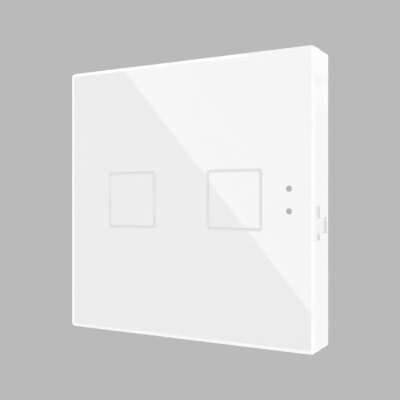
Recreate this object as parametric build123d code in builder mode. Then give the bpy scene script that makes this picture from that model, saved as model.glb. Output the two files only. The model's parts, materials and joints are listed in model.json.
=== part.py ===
from build123d import *
import os

# Touch light switch with two touch fields, for a square wall box.
# X runs to the right and Z up, seen from the room. Y runs into the wall.
# The origin is the centre of the wall plane, where the mounting yoke rests.
# A height is measured from the wall plane into the room, so it is negative inside the wall.

os.makedirs("parts", exist_ok=True)

# Sizes are in millimetres. The terminals, the relays and the supply parts set the housing, the housing
# sets the yoke, and the plate covers the yoke: 86 wide and high, 12.5 proud, on 60.3 fixing centres.

# Driving dimensions
pole_pitch = 7.62
poles_per_block = 2
fixing_land = 1.65
fixing_edge = 3.35
yoke_band = 10.5
plate_overhang = 6.0
plate_thickness = 5.0

# Clearances shared by the pieces
seat_gap = 0.3
fit_gap = 0.1
running_gap = 0.05
pin_gap = 0.15

# Front plate
plate_corner_radius = 1.0
plate_bevel_width = 1.0
plate_bevel_depth = 0.25
plate_bevel_corner = 0.1
plate_arris = 0.15
field_size = 17.3
field_offset = 18.25
outline_width = 0.9
outline_corner_radius = 0.9
outline_depth = 0.14
indicator_inset = 7.5
indicator_z = 3.2
scoop_length = 9.5
scoop_depth = 0.5
scoop_corner = 0.3
scoop_z = -6.55
scoop_front_land = 1.3

# Bond between the plate and the frame
bond_thickness = 0.3
bond_edge_gap = 0.2
bond_window_corner = 1.5

# Panel frame
frame_inset = 0.1
frame_wall = 1.8
frame_rim_width = 1.6
frame_wall_gap = 0.2
web_thickness = 1.4
web_rib_height = 0.9
web_rib_width = 0.8
web_rib_x = 7.5
web_rib_z = 17.5
gusset_reach = 1.9
gusset_drop = 3.0
gusset_thickness = 0.8
gusset_spacing = 20.0
gussets_per_wall = 4
ledge_length = 9.0
ledge_reach = 0.9
ledge_height = 1.2
spring_window_width = 11.0
spring_window_height = 6.0
spring_window_corner = 1.0
pry_notch_width = 4.6
pry_notch_depth = 0.45
pry_notch_z = -7.2
pry_notch_corner = 0.3
pry_notch_rear_land = 1.1

# Touch board and what it carries
touch_board_margin_x = 5.0
touch_board_margin_z = 14.0
touch_board_thickness = 1.0
touch_board_corner = 1.2
touch_board_room = 1.2
touch_board_tray_gap = 1.4
board_screw_inset_x = 5.0
board_screw_inset_z = 4.0
board_screw_radius = 0.85
board_screw_head_radius = 1.7
board_screw_head_height = 0.9
board_screw_bite = 0.5
board_boss_radius = 2.3
screw_access_radius = 4.4
electrode_size = 16.3
electrode_thickness = 0.1
electrode_corner = 0.8
spring_strip = 0.2
spring_strip_width = 2.6
spring_bend = 0.45
spring_reach = 2.3
spring_foot_length = 1.4
spring_tip_drop = 0.6
led_length = 1.6
led_width = 0.9
led_height = 0.8
pipe_radius = 0.8
pipe_bridge_width = 2.4
pipe_bridge_height = 0.3
chip_size = 5.0
chip_height = 0.85
chip_z = 6.5
chip_bevel = 0.15
resistor_length = 1.6
resistor_width = 0.8
resistor_height = 0.5
resistor_pitch = 2.2
resistor_z = -3.0
resistor_count = 5

# Header between the panel and the base
header_ways = 6
header_pitch = 2.54
header_block_gap = 1.0
header_width = 2.54
header_strip_height = 2.5
header_pin = 0.64
header_tail = 0.7
header_pin_reach = 6.1
socket_height = 8.5
socket_end_wall = 0.2
socket_mouth_land = 0.7
socket_cavity = 1.5
contact_strip = 0.2
contact_width = 0.9
contact_base_height = 0.3
contact_lead_in = 0.4
contact_tail_radius = 0.3
contact_tail_reach = 0.8

# Mounting yoke
yoke_thickness = 1.0
yoke_corner_radius = 4.0
yoke_opening_gap = 0.5
yoke_opening_corner = 2.5
fixing_slot_radius = 2.1
fixing_slot_length = 7.0
yoke_edge_notch_radius = 1.2
stake_inset = 5.0
stake_radius = 1.5
stake_head_radius = 2.1
stake_head_height = 0.6
stake_head_taper = 45

# Base tray
tray_margin = 1.0
tray_thickness = 1.2
tray_corner_radius = 3.0
tray_rim_width = 0.8
tray_rim_height = 0.6
tray_access_radius = 4.6
tray_access_length = 10.0
tray_header_gap = 0.4
tray_collar_width = 0.8
tray_collar_height = 0.5
tray_boss_radius = 2.2
tray_boss_length = 4.0
tray_post_radius = 1.4
tray_post_inset_x = 5.0
tray_post_inset_z = 13.0

# Spring clips
clip_strip = 0.3
clip_width = 5.0
clip_x = 20.0
clip_foot_length = 2.8
clip_room = 1.7
clip_bead = 0.9
clip_bend = 0.35
clip_rise = 1.5
clip_bead_rise = 0.8
clip_tip_rise = 1.0
clip_peg_radius = 0.6

# Rear housing
housing_wall = 1.6
housing_corner_radius = 2.5
housing_rear_fillet = 1.2
column_radius = 3.7
column_inset = 3.9
column_block_gap = 1.66
housing_screw_radius = 1.2
housing_screw_head_radius = 2.3
housing_screw_head_height = 1.6
housing_screw_grip = 9.0
housing_screw_bite = 3.2
screw_recess_radius = 2.6
ledge_rib_width = 1.5
ledge_rib_length = 4.0
vent_width = 1.2
vent_length = 7.0
vent_pitch = 3.0
vent_count = 5

# Power board
board_thickness = 1.6
board_edge_gap = 0.3
board_column_gap = 0.3
pin_reach = 1.0

block_gap = 0.3
block_front_wall = 1.05
terminal_screw_head_radius = 2.3
terminal_screw_head_height = 1.6
terminal_screw_recess = 0.6
terminal_screw_radius = 1.5
terminal_screw_length = 6.0
terminal_screw_slot_width = 0.7
terminal_screw_slot_depth = 0.8
terminal_screw_tip = 0.3
head_land = 1.0
cage_size = 5.8
cage_nut_wall = 1.6
cage_side_wall = 0.9
cage_bottom_wall = 1.0
cage_corner = 0.4
cage_travel = 3.2
cage_shaft_gap = 0.2
bar_thickness = 1.0
bar_side_gap = 0.2
wire_space = 4.0
wire_radius = 1.9
wire_wall = 3.4
wire_lead_in = 0.4
bar_tail_gap = 1.4
bar_tail_width = 1.0
bar_tail_pin = 1.2
bar_tail_wall = 1.0

# Relays
relay_width = 10.2
relay_gap = 4.0
relay_side_room = 2.9
relay_floor_gap = 1.8
relay_block_gap = 2.3
relay_cover_wall = 0.5
relay_cover_fillet = 0.8
relay_base_height = 1.4
iron_thickness = 1.0
iron_width = 6.0
iron_end_gap = 0.5
iron_length_share = 0.5444
iron_bottom = 1.6
iron_top = 9.3
core_radius = 1.3
core_height = 5.0
pole_radius = 1.7
pole_thickness = 0.4
pole_step = 0.2
bobbin_flange_radius = 3.0
bobbin_flange_thickness = 0.5
bobbin_barrel_wall = 0.35
bobbin_pole_gap = 0.4
winding_radius = 2.65
armature_gap = 0.45
armature_thickness = 0.9
armature_width = 5.6
armature_bottom = 3.5
armature_tail = 1.1
pivot_radius = 0.4
contact_leaf = 0.2
contact_leaf_width = 3.6
contact_leaf_bottom = 1.7
contact_button_radius = 0.7
contact_button_height = 2.4
contact_button_length = 0.75
contact_gap = 0.46
fixed_button_length = 0.44
relay_strip = 0.3
relay_strip_width = 2.4
relay_strip_top = 3.1
common_strip_inset = 2.5
coil_pin_radius = 0.35
coil_pin_inset_x = 2.5
coil_pin_inset_z = 0.6
coil_pin_top = 1.8

# Power supply parts on the power board
transformer_x_share = -0.262
transformer_gap = 4.25
transformer_base_size = 10.5
transformer_base_height = 1.0
transformer_core_length = 12.6
transformer_core_height = 10.2
transformer_core_width = 4.6
transformer_limb = 3.0
transformer_window_width = 2.6
transformer_window_height = 6.4
transformer_pin_x = 3.8
transformer_pin_z = 4.2
small_pin_radius = 0.35
bulk_capacitor_x_share = 0.011
bulk_capacitor_radius = 4.0
bulk_capacitor_height = 11.5
bulk_capacitor_groove = 0.3
bulk_capacitor_groove_width = 0.8
bulk_capacitor_groove_height = 1.6
bulk_capacitor_fillet = 0.5
bulk_capacitor_pin_x = 1.25
film_capacitor_x_share = 0.284
film_capacitor_gap = 2.5
film_capacitor_length = 13.0
film_capacitor_width = 5.0
film_capacitor_height = 11.0
film_capacitor_fillet = 0.6
film_capacitor_pin_x = 5.0
fuse_x_share = 0.262
fuse_gap = 2.35
fuse_length = 8.4
fuse_width = 4.3
fuse_height = 7.6
fuse_fillet = 0.5
fuse_pin_x = 2.54
supply_chip_gap = 1.3
supply_chip_wall_gap = 2.95
supply_chip_length = 4.9
supply_chip_width = 3.9
supply_chip_height = 1.5
supply_chip_bevel = 0.3
chip_leg_pitch = 1.27
chip_legs_per_side = 4
chip_leg_width = 0.42
chip_leg_reach = 1.0
chip_leg_thickness = 0.2

# Terminal blocks and the housing that holds them, seen from the room
shaft_size = cage_size + 2 * cage_shaft_gap
block_width = poles_per_block * pole_pitch
block_height = wire_wall + shaft_size + bar_tail_gap + bar_tail_width + bar_tail_wall
housing_width = 2 * (block_width + column_block_gap + column_radius + column_inset)
housing_inner_width = housing_width - 2 * housing_wall
supply_height = transformer_base_size + supply_chip_gap + supply_chip_width + 2 * chip_leg_reach
housing_height = (
    block_height
    + relay_block_gap
    + relay_width
    + transformer_gap
    + supply_height
    + supply_chip_wall_gap
    + housing_wall
)
housing_inner_height = housing_height - 2 * housing_wall
column_x = housing_width / 2 - column_inset
column_z = housing_height / 2 - column_inset

# Places of the parts on the power board
block_top_z = -housing_height / 2 + block_height
relay_length = housing_inner_width / 2 - relay_side_room - relay_gap / 2
relay_offset = (relay_length + relay_gap) / 2
relay_z = block_top_z + relay_block_gap + relay_width / 2
relay_top_z = relay_z + relay_width / 2
transformer_x = transformer_x_share * housing_inner_width
transformer_z = relay_top_z + transformer_gap + transformer_base_size / 2
bulk_capacitor_x = bulk_capacitor_x_share * housing_inner_width
film_capacitor_x = film_capacitor_x_share * housing_inner_width
film_capacitor_z = relay_top_z + film_capacitor_gap + film_capacitor_width / 2
fuse_x = fuse_x_share * housing_inner_width
fuse_z = film_capacitor_z + film_capacitor_width / 2 + fuse_gap + fuse_width / 2
supply_chip_z = (
    relay_top_z + transformer_gap + supply_height - supply_chip_width / 2 - chip_leg_reach
)
header_z = block_top_z + header_block_gap

# Yoke, tray and plate, seen from the room
yoke_opening_width = housing_width + 2 * yoke_opening_gap
yoke_opening_height = housing_height + 2 * yoke_opening_gap
fixing_spacing = yoke_opening_width + 2 * fixing_land + fixing_slot_length
yoke_width = fixing_spacing + fixing_slot_length + 2 * fixing_edge
yoke_height = yoke_opening_height + 2 * yoke_band
tray_width = yoke_width - 2 * tray_margin
tray_height = yoke_height - 2 * tray_margin
stake_spacing_x = tray_width - 2 * stake_inset
stake_spacing_z = tray_height - 2 * stake_inset
tray_post_x = housing_width / 2 - tray_post_inset_x
tray_post_z = housing_height / 2 - tray_post_inset_z
plate_width = yoke_width + 2 * plate_overhang
plate_height = yoke_height + 2 * plate_overhang
frame_width = plate_width - 2 * frame_inset
frame_height = plate_height - 2 * frame_inset
frame_inner_width = frame_width - 2 * frame_wall
frame_inner_height = frame_height - 2 * frame_wall
touch_board_width = plate_width - 2 * touch_board_margin_x
touch_board_height = plate_height - 2 * touch_board_margin_z
board_screw_x = touch_board_width / 2 - board_screw_inset_x
board_screw_z = touch_board_height / 2 - board_screw_inset_z
clip_foot_z = tray_height / 2 - clip_foot_length
indicator_x = plate_width / 2 - indicator_inset

# Levels from the wall plane into the room
yoke_front = yoke_thickness
tray_front = yoke_front + tray_thickness
touch_board_back = tray_front + touch_board_tray_gap
touch_board_front = touch_board_back + touch_board_thickness
web_back = touch_board_front + touch_board_room
web_front = web_back + web_thickness
plate_back = web_front + bond_thickness
plate_front = plate_back + plate_thickness
header_strip_back = touch_board_back - header_strip_height

# Levels from the wall plane into the wall box
socket_front = header_strip_back - seat_gap
board_front = socket_front - socket_height
board_back = board_front - board_thickness
pin_end = board_front + pin_reach
shaft_end = board_back - block_front_wall
cage_end = shaft_end - cage_shaft_gap
cage_inner_end = cage_end - cage_bottom_wall
bar_front = cage_inner_end - wire_space
bar_back = bar_front - bar_thickness
wire_level = (bar_front + cage_inner_end) / 2
cage_open = bar_back - cage_shaft_gap - cage_nut_wall
shaft_start = cage_open - cage_shaft_gap - cage_travel
head_front = shaft_start - head_land - running_gap
head_back = head_front - terminal_screw_head_height
housing_back = head_back - terminal_screw_recess
housing_floor = housing_back + housing_wall
relay_height = board_back - housing_floor - relay_floor_gap
column_top = yoke_front - tray_boss_length
housing_screw_seat = column_top - housing_screw_grip

# Places that several pieces share
header_places = [((i - (header_ways - 1) / 2) * header_pitch, header_z) for i in range(header_ways)]
field_places = [(-field_offset, 0), (field_offset, 0)]
indicator_places = [(indicator_x, indicator_z), (indicator_x, -indicator_z)]
fixing_places = [(-fixing_spacing / 2, 0), (fixing_spacing / 2, 0)]
pole_places = [(i - (2 * poles_per_block - 1) / 2) * pole_pitch for i in range(2 * poles_per_block)]

print(f"Plate {plate_width:.1f} by {plate_height:.1f}, {plate_front:.1f} proud of the wall")
print(f"Fixing centres {fixing_spacing:.1f}, housing {housing_width:.1f} by {housing_height:.1f}")


def level(height):
    """Plane parallel to the wall at this height, drawn on as the room sees it."""
    return Plane.XZ.offset(height)


def across(z):
    """Section plane at this Z: X runs right and the height above the wall runs up."""
    return Plane(origin=(0, 0, z), x_dir=(1, 0, 0), z_dir=(0, 0, -1))


def along(x):
    """Section plane at this X: Z runs right and the height above the wall runs up."""
    return Plane(origin=(x, 0, 0), x_dir=(0, 0, 1), z_dir=(1, 0, 0))


def save(piece, name):
    """Label a finished piece and write its file."""
    piece.part.label = name
    export_step(piece.part, "parts/" + name + ".step")


# Front plate: opal glass with a shallow polished bevel, filled outlines and a ground thumb scoop
bevel_start = plate_front - plate_bevel_depth
outline_outer = field_size + outline_width
outline_inner = field_size - outline_width
outline_inner_corner = outline_corner_radius - outline_width / 2

with BuildPart() as front_plate:
    with BuildSketch(level(plate_back)):
        RectangleRounded(plate_width, plate_height, plate_corner_radius)
    extrude(amount=bevel_start - plate_back)
    chamfer(front_plate.faces().sort_by(Axis.Y)[-1].edges(), plate_arris)
    with BuildSketch(level(bevel_start)):
        RectangleRounded(plate_width, plate_height, plate_corner_radius)
    with BuildSketch(level(plate_front)):
        RectangleRounded(
            plate_width - 2 * plate_bevel_width,
            plate_height - 2 * plate_bevel_width,
            plate_bevel_corner,
        )
    loft(ruled=True)
    with BuildSketch(level(plate_front)):
        with Locations(*field_places):
            RectangleRounded(outline_outer, outline_outer, outline_corner_radius)
            RectangleRounded(outline_inner, outline_inner, outline_inner_corner, mode=Mode.SUBTRACT)
    extrude(amount=-outline_depth, mode=Mode.SUBTRACT)
    with BuildSketch(level(plate_back)):
        with Locations(*indicator_places):
            Circle(pipe_radius + running_gap)
    extrude(amount=plate_thickness, mode=Mode.SUBTRACT)
    with BuildSketch(level(plate_back)):
        with Locations((plate_width / 2, scoop_z)):
            RectangleRounded(2 * scoop_depth, scoop_length, scoop_corner)
    extrude(amount=plate_thickness - scoop_front_land, mode=Mode.SUBTRACT)
save(front_plate, "front_plate")

# Touch outlines: grey enamel that fills the two grooves flush with the plate
for side, place in zip(("left", "right"), field_places):
    with BuildPart() as touch_outline:
        with BuildSketch(level(plate_front)):
            with Locations(place):
                RectangleRounded(outline_outer, outline_outer, outline_corner_radius)
                RectangleRounded(outline_inner, outline_inner, outline_inner_corner, mode=Mode.SUBTRACT)
        extrude(amount=-outline_depth)
    save(touch_outline, "touch_outline_" + side)

# Bond layer: die-cut foam tape with windows for the electrodes and the light pipe
bond_window = electrode_size + 2 * seat_gap
bond_recess_width = frame_width - 2 * frame_rim_width
bond_recess_height = frame_height - 2 * frame_rim_width

with BuildPart() as bond_layer:
    with BuildSketch(level(web_front)):
        RectangleRounded(
            bond_recess_width - 2 * bond_edge_gap,
            bond_recess_height - 2 * bond_edge_gap,
            plate_corner_radius,
        )
        with Locations(*field_places):
            RectangleRounded(bond_window, bond_window, bond_window_corner, mode=Mode.SUBTRACT)
        with Locations((indicator_x, 0)):
            SlotCenterToCenter(
                2 * indicator_z, pipe_bridge_width, rotation=90, mode=Mode.SUBTRACT
            )
    extrude(amount=bond_thickness)
save(bond_layer, "bond_layer")

# Panel frame: moulded shell behind the plate, with ribs, gussets, bosses and catch ledges
clip_foot_level = yoke_front + clip_strip / 2
clip_neck_level = clip_foot_level + clip_rise
ledge_front = clip_neck_level + running_gap
ledge_inner_z = frame_inner_height / 2 - ledge_reach
gusset_places = [(i - (gussets_per_wall - 1) / 2) * gusset_spacing for i in range(gussets_per_wall)]

with BuildPart() as panel_frame:
    with BuildSketch(level(frame_wall_gap)):
        RectangleRounded(frame_width, frame_height, plate_corner_radius)
    extrude(amount=plate_back - frame_wall_gap)
    with BuildSketch(level(web_front)):
        RectangleRounded(bond_recess_width, bond_recess_height, plate_corner_radius)
    extrude(amount=bond_thickness, mode=Mode.SUBTRACT)
    with BuildSketch(level(frame_wall_gap)):
        RectangleRounded(frame_inner_width, frame_inner_height, plate_corner_radius)
    extrude(amount=web_back - frame_wall_gap, mode=Mode.SUBTRACT)
    # gussets between the web and the four walls
    for place in gusset_places:
        for sign in (-1, 1):
            with BuildSketch(across(place)):
                with BuildLine():
                    Polyline(
                        (sign * frame_inner_width / 2, web_back),
                        (sign * (frame_inner_width / 2 - gusset_reach), web_back),
                        (sign * frame_inner_width / 2, web_back - gusset_drop),
                        close=True,
                    )
                make_face()
            extrude(amount=gusset_thickness / 2, both=True)
            with BuildSketch(along(place)):
                with BuildLine():
                    Polyline(
                        (sign * frame_inner_height / 2, web_back),
                        (sign * (frame_inner_height / 2 - gusset_reach), web_back),
                        (sign * frame_inner_height / 2, web_back - gusset_drop),
                        close=True,
                    )
                make_face()
            extrude(amount=gusset_thickness / 2, both=True)
    # stiffening ribs on the back of the web
    with BuildSketch(level(web_back)):
        with GridLocations(0, 2 * web_rib_z, 1, 2):
            Rectangle(frame_inner_width, web_rib_width)
        with GridLocations(2 * web_rib_x, 0, 2, 1):
            Rectangle(web_rib_width, frame_inner_height)
    extrude(amount=-web_rib_height)
    # bosses for the touch board's screws
    with BuildSketch(level(web_back)):
        with GridLocations(2 * board_screw_x, 2 * board_screw_z, 2, 2):
            Circle(board_boss_radius)
    extrude(amount=-touch_board_room)
    with BuildSketch(level(touch_board_front)):
        with GridLocations(2 * board_screw_x, 2 * board_screw_z, 2, 2):
            Circle(board_screw_radius)
    extrude(amount=touch_board_room + board_screw_bite, mode=Mode.SUBTRACT)
    # ledges that the spring clips hold
    with BuildSketch(level(ledge_front - ledge_height)):
        with GridLocations(2 * clip_x, 2 * ledge_inner_z + ledge_reach, 2, 2):
            Rectangle(ledge_length, ledge_reach)
    extrude(amount=ledge_height)
    # windows for the touch springs and the light pipe
    with BuildSketch(level(web_back - web_rib_height)):
        with Locations(*field_places):
            RectangleRounded(spring_window_width, spring_window_height, spring_window_corner)
        with Locations(*indicator_places):
            Circle(pipe_radius + fit_gap)
    extrude(amount=web_rib_height + web_thickness, mode=Mode.SUBTRACT)
    # pry notch in the right wall, below the plate's scoop
    with BuildSketch(level(frame_wall_gap + pry_notch_rear_land)):
        with Locations((frame_width / 2, pry_notch_z)):
            RectangleRounded(2 * pry_notch_depth, pry_notch_width, pry_notch_corner)
    extrude(amount=plate_back - frame_wall_gap - pry_notch_rear_land, mode=Mode.SUBTRACT)
save(panel_frame, "panel_frame")

# Touch board: screwed to the frame's bosses, with round openings for the wall-box screws
with BuildPart() as touch_board:
    with BuildSketch(level(touch_board_back)):
        RectangleRounded(touch_board_width, touch_board_height, touch_board_corner)
        with Locations(*fixing_places):
            Circle(screw_access_radius, mode=Mode.SUBTRACT)
        with GridLocations(2 * board_screw_x, 2 * board_screw_z, 2, 2):
            Circle(board_screw_radius + fit_gap, mode=Mode.SUBTRACT)
        with Locations(*header_places):
            Circle(header_pin, mode=Mode.SUBTRACT)
    extrude(amount=touch_board_thickness)
save(touch_board, "touch_board")

with BuildPart() as board_screws:
    with BuildSketch(level(touch_board_back)):
        with GridLocations(2 * board_screw_x, 2 * board_screw_z, 2, 2):
            Circle(board_screw_head_radius)
    extrude(amount=-board_screw_head_height)
    with BuildSketch(level(touch_board_back)):
        with GridLocations(2 * board_screw_x, 2 * board_screw_z, 2, 2):
            Circle(board_screw_radius)
    extrude(amount=touch_board_thickness + touch_board_room + board_screw_bite)
save(board_screws, "board_screws")

with BuildPart() as touch_chip:
    with BuildSketch(level(touch_board_front)):
        with Locations((0, chip_z)):
            Rectangle(chip_size, chip_size)
    extrude(amount=chip_height)
    chamfer(touch_chip.faces().sort_by(Axis.Y)[0].edges(), chip_bevel)
save(touch_chip, "touch_chip")

with BuildPart() as board_resistors:
    with BuildSketch(level(touch_board_front)):
        with Locations((0, resistor_z)):
            with GridLocations(resistor_pitch, 0, resistor_count, 1):
                Rectangle(resistor_width, resistor_length)
    extrude(amount=resistor_height)
save(board_resistors, "board_resistors")

# Touch electrodes: copper foil on the back of the plate, one behind each field
# Touch springs: bent strips that stand on the board and press on the foil
electrode_back = plate_back - electrode_thickness
spring_foot = touch_board_front + spring_strip / 2
spring_top = electrode_back - spring_strip / 2
spring_middle = (spring_foot + spring_top) / 2

for side, place in zip(("left", "right"), field_places):
    with BuildPart() as touch_electrode:
        with BuildSketch(level(electrode_back)):
            with Locations(place):
                RectangleRounded(electrode_size, electrode_size, electrode_corner)
        extrude(amount=electrode_thickness)
    save(touch_electrode, "touch_electrode_" + side)

    left_end = place[0] - spring_reach
    right_end = place[0] + spring_reach
    with BuildPart() as touch_spring:
        with BuildSketch(across(0)):
            with BuildLine():
                FilletPolyline(
                    (left_end - spring_foot_length, spring_foot),
                    (right_end, spring_foot),
                    (right_end, spring_middle),
                    (left_end, spring_top),
                    (left_end - spring_foot_length, spring_top - spring_tip_drop),
                    radius=spring_bend,
                )
            trace(line_width=spring_strip)
        extrude(amount=spring_strip_width / 2, both=True)
    save(touch_spring, "touch_spring_" + side)

# Indicators: two chips on the board light two rods of one clear moulding
with BuildPart() as indicator_leds:
    with BuildSketch(level(touch_board_front)):
        with Locations(*indicator_places):
            Rectangle(led_width, led_length)
    extrude(amount=led_height)
save(indicator_leds, "indicator_leds")

with BuildPart() as light_pipe:
    with BuildSketch(level(web_back)):
        with Locations((indicator_x, 0)):
            SlotCenterToCenter(2 * indicator_z, pipe_bridge_width, rotation=90)
    extrude(amount=-pipe_bridge_height)
    with BuildSketch(level(web_back)):
        with Locations(*indicator_places):
            Circle(pipe_radius)
    extrude(amount=plate_front - web_back)
save(light_pipe, "light_pipe")

# Header: a strip with square pins under the touch board
with BuildPart() as header_strip:
    with BuildSketch(level(touch_board_back)):
        with Locations((0, header_z)):
            Rectangle(header_ways * header_pitch, header_width)
        with Locations(*header_places):
            Rectangle(header_pin, header_pin, mode=Mode.SUBTRACT)
    extrude(amount=-header_strip_height)
save(header_strip, "header_strip")

with BuildPart() as header_pins:
    with BuildSketch(level(touch_board_front + header_tail)):
        with Locations(*header_places):
            Rectangle(header_pin, header_pin)
    extrude(amount=header_strip_back - header_pin_reach - touch_board_front - header_tail)
save(header_pins, "header_pins")

# Mounting yoke: steel plate that the wall-box screws hold, with the housing through its opening
yoke_edge_places = [(sign * yoke_width / 2, 0) for sign in (-1, 1)]
yoke_edge_places += [(0, sign * yoke_height / 2) for sign in (-1, 1)]

with BuildPart() as mounting_yoke:
    with BuildSketch(level(0)):
        RectangleRounded(yoke_width, yoke_height, yoke_corner_radius)
        RectangleRounded(
            yoke_opening_width, yoke_opening_height, yoke_opening_corner, mode=Mode.SUBTRACT
        )
        with Locations(*fixing_places):
            SlotOverall(fixing_slot_length, 2 * fixing_slot_radius, mode=Mode.SUBTRACT)
        with Locations(*yoke_edge_places):
            Circle(yoke_edge_notch_radius, mode=Mode.SUBTRACT)
        with GridLocations(stake_spacing_x, stake_spacing_z, 2, 2):
            Circle(stake_radius + running_gap, mode=Mode.SUBTRACT)
    extrude(amount=yoke_thickness)
    with BuildSketch(level(0)):
        with GridLocations(stake_spacing_x, stake_spacing_z, 2, 2):
            Circle(stake_head_radius + running_gap)
    extrude(amount=stake_head_height, taper=stake_head_taper, mode=Mode.SUBTRACT)
save(mounting_yoke, "mounting_yoke")

# Base tray: moulded plate staked to the yoke, with bosses, board posts and clip pockets
clip_pocket_height = clip_strip + running_gap

with BuildPart() as base_tray:
    with BuildSketch(level(yoke_front)):
        RectangleRounded(tray_width, tray_height, tray_corner_radius)
    extrude(amount=tray_thickness)
    with BuildSketch(level(tray_front)):
        RectangleRounded(tray_width, tray_height, tray_corner_radius)
        RectangleRounded(
            tray_width - 2 * tray_rim_width,
            tray_height - 2 * tray_rim_width,
            tray_corner_radius - tray_rim_width,
            mode=Mode.SUBTRACT,
        )
    extrude(amount=tray_rim_height)
    with BuildSketch(level(tray_front)):
        with Locations(*fixing_places):
            SlotOverall(
                tray_access_length + 2 * tray_collar_width, 2 * (tray_access_radius + tray_collar_width)
            )
        with Locations((0, header_z)):
            Rectangle(
                header_ways * header_pitch + 2 * (tray_header_gap + tray_collar_width),
                header_width + 2 * (tray_header_gap + tray_collar_width),
            )
    extrude(amount=tray_collar_height)
    with BuildSketch(level(yoke_front)):
        with GridLocations(2 * column_x, 2 * column_z, 2, 2):
            Circle(tray_boss_radius)
    extrude(amount=-tray_boss_length)
    with BuildSketch(level(yoke_front)):
        with GridLocations(2 * tray_post_x, 2 * tray_post_z, 2, 2):
            Circle(tray_post_radius)
    extrude(amount=board_front - yoke_front)
    with BuildSketch(level(yoke_front)):
        with GridLocations(stake_spacing_x, stake_spacing_z, 2, 2):
            Circle(stake_radius)
    extrude(amount=-yoke_thickness)
    with BuildSketch(level(0)):
        with GridLocations(stake_spacing_x, stake_spacing_z, 2, 2):
            Circle(stake_head_radius)
    extrude(amount=stake_head_height, taper=stake_head_taper)
    # openings for the screws, the header and the housing screws
    with BuildSketch(level(yoke_front)):
        with Locations(*fixing_places):
            SlotOverall(tray_access_length, 2 * tray_access_radius)
        with Locations((0, header_z)):
            Rectangle(
                header_ways * header_pitch + 2 * tray_header_gap, header_width + 2 * tray_header_gap
            )
    extrude(amount=tray_thickness + tray_collar_height, mode=Mode.SUBTRACT)
    with BuildSketch(level(yoke_front - tray_boss_length)):
        with GridLocations(2 * column_x, 2 * column_z, 2, 2):
            Circle(housing_screw_radius)
    extrude(amount=tray_boss_length, mode=Mode.SUBTRACT)
    # pockets that trap the feet of the spring clips, each with a peg
    with BuildSketch(level(yoke_front)):
        with GridLocations(2 * clip_x, 2 * clip_foot_z + clip_foot_length, 2, 2):
            Rectangle(clip_width + 2 * running_gap, clip_foot_length + 2 * running_gap)
            Circle(clip_peg_radius, mode=Mode.SUBTRACT)
    extrude(amount=clip_pocket_height, mode=Mode.SUBTRACT)
save(base_tray, "base_tray")

# Spring clips: bent strips on the yoke whose beads hold the frame's ledges
clip_wall_z = frame_inner_height / 2 - clip_room
clip_bead_level = clip_neck_level + clip_bead_rise
clip_tip_level = clip_bead_level + clip_tip_rise

with BuildPart() as spring_clips:
    for sign in (-1, 1):
        for x in (-clip_x, clip_x):
            with BuildSketch(along(x)):
                with BuildLine():
                    FilletPolyline(
                        (sign * clip_foot_z, clip_foot_level),
                        (sign * clip_wall_z, clip_foot_level),
                        (sign * clip_wall_z, clip_neck_level),
                        (sign * (clip_wall_z + clip_bead), clip_bead_level),
                        (sign * clip_wall_z, clip_tip_level),
                        radius=clip_bend,
                    )
                trace(line_width=clip_strip)
            extrude(amount=clip_width / 2, both=True)
    with BuildSketch(level(yoke_front)):
        with GridLocations(2 * clip_x, 2 * clip_foot_z + clip_foot_length, 2, 2):
            Circle(clip_peg_radius + fit_gap)
    extrude(amount=clip_strip, mode=Mode.SUBTRACT)
save(spring_clips, "spring_clips")

# Rear housing: box in the wall, with screw columns, board ledges, vents and a terminal opening
vent_level = (housing_floor + board_back) / 2

with BuildPart() as rear_housing:
    with BuildSketch(level(housing_back)):
        RectangleRounded(housing_width, housing_height, housing_corner_radius)
    extrude(amount=yoke_front - housing_back)
    fillet(rear_housing.faces().sort_by(Axis.Y)[-1].edges(), housing_rear_fillet)
    with BuildSketch(level(housing_floor)):
        RectangleRounded(
            housing_inner_width, housing_inner_height, housing_corner_radius - housing_wall
        )
    extrude(amount=yoke_front - housing_floor, mode=Mode.SUBTRACT)
    with BuildSketch(level(housing_floor)):
        with GridLocations(2 * column_x, 2 * column_z, 2, 2):
            Circle(column_radius)
    extrude(amount=column_top - housing_floor)
    with BuildSketch(level(housing_floor)):
        with GridLocations(housing_inner_width - ledge_rib_width, 2 * tray_post_z, 2, 2):
            Rectangle(ledge_rib_width, ledge_rib_length)
    extrude(amount=board_back - housing_floor)
    with BuildSketch(level(housing_back)):
        with GridLocations(2 * column_x, 2 * column_z, 2, 2):
            Circle(screw_recess_radius)
    extrude(amount=housing_screw_seat - housing_back, mode=Mode.SUBTRACT)
    with BuildSketch(level(housing_screw_seat)):
        with GridLocations(2 * column_x, 2 * column_z, 2, 2):
            Circle(housing_screw_radius + fit_gap)
    extrude(amount=housing_screw_grip, mode=Mode.SUBTRACT)
    with BuildSketch(Plane.YZ.offset(-housing_width / 2)):
        with Locations((-vent_level, 0)):
            with GridLocations(0, vent_pitch, 1, vent_count):
                SlotOverall(vent_length, vent_width)
    extrude(amount=housing_width, mode=Mode.SUBTRACT)
    with BuildSketch(level(housing_back)):
        with Locations((0, block_top_z + block_gap - block_height)):
            Rectangle(2 * (block_width + block_gap), 2 * block_height)
    extrude(amount=board_back - housing_back, mode=Mode.SUBTRACT)
save(rear_housing, "rear_housing")

with BuildPart() as housing_screws:
    with BuildSketch(level(housing_screw_seat)):
        with GridLocations(2 * column_x, 2 * column_z, 2, 2):
            Circle(housing_screw_head_radius)
    extrude(amount=-housing_screw_head_height)
    with BuildSketch(level(housing_screw_seat)):
        with GridLocations(2 * column_x, 2 * column_z, 2, 2):
            Circle(housing_screw_radius)
    extrude(amount=housing_screw_grip + housing_screw_bite)
save(housing_screws, "housing_screws")

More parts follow.
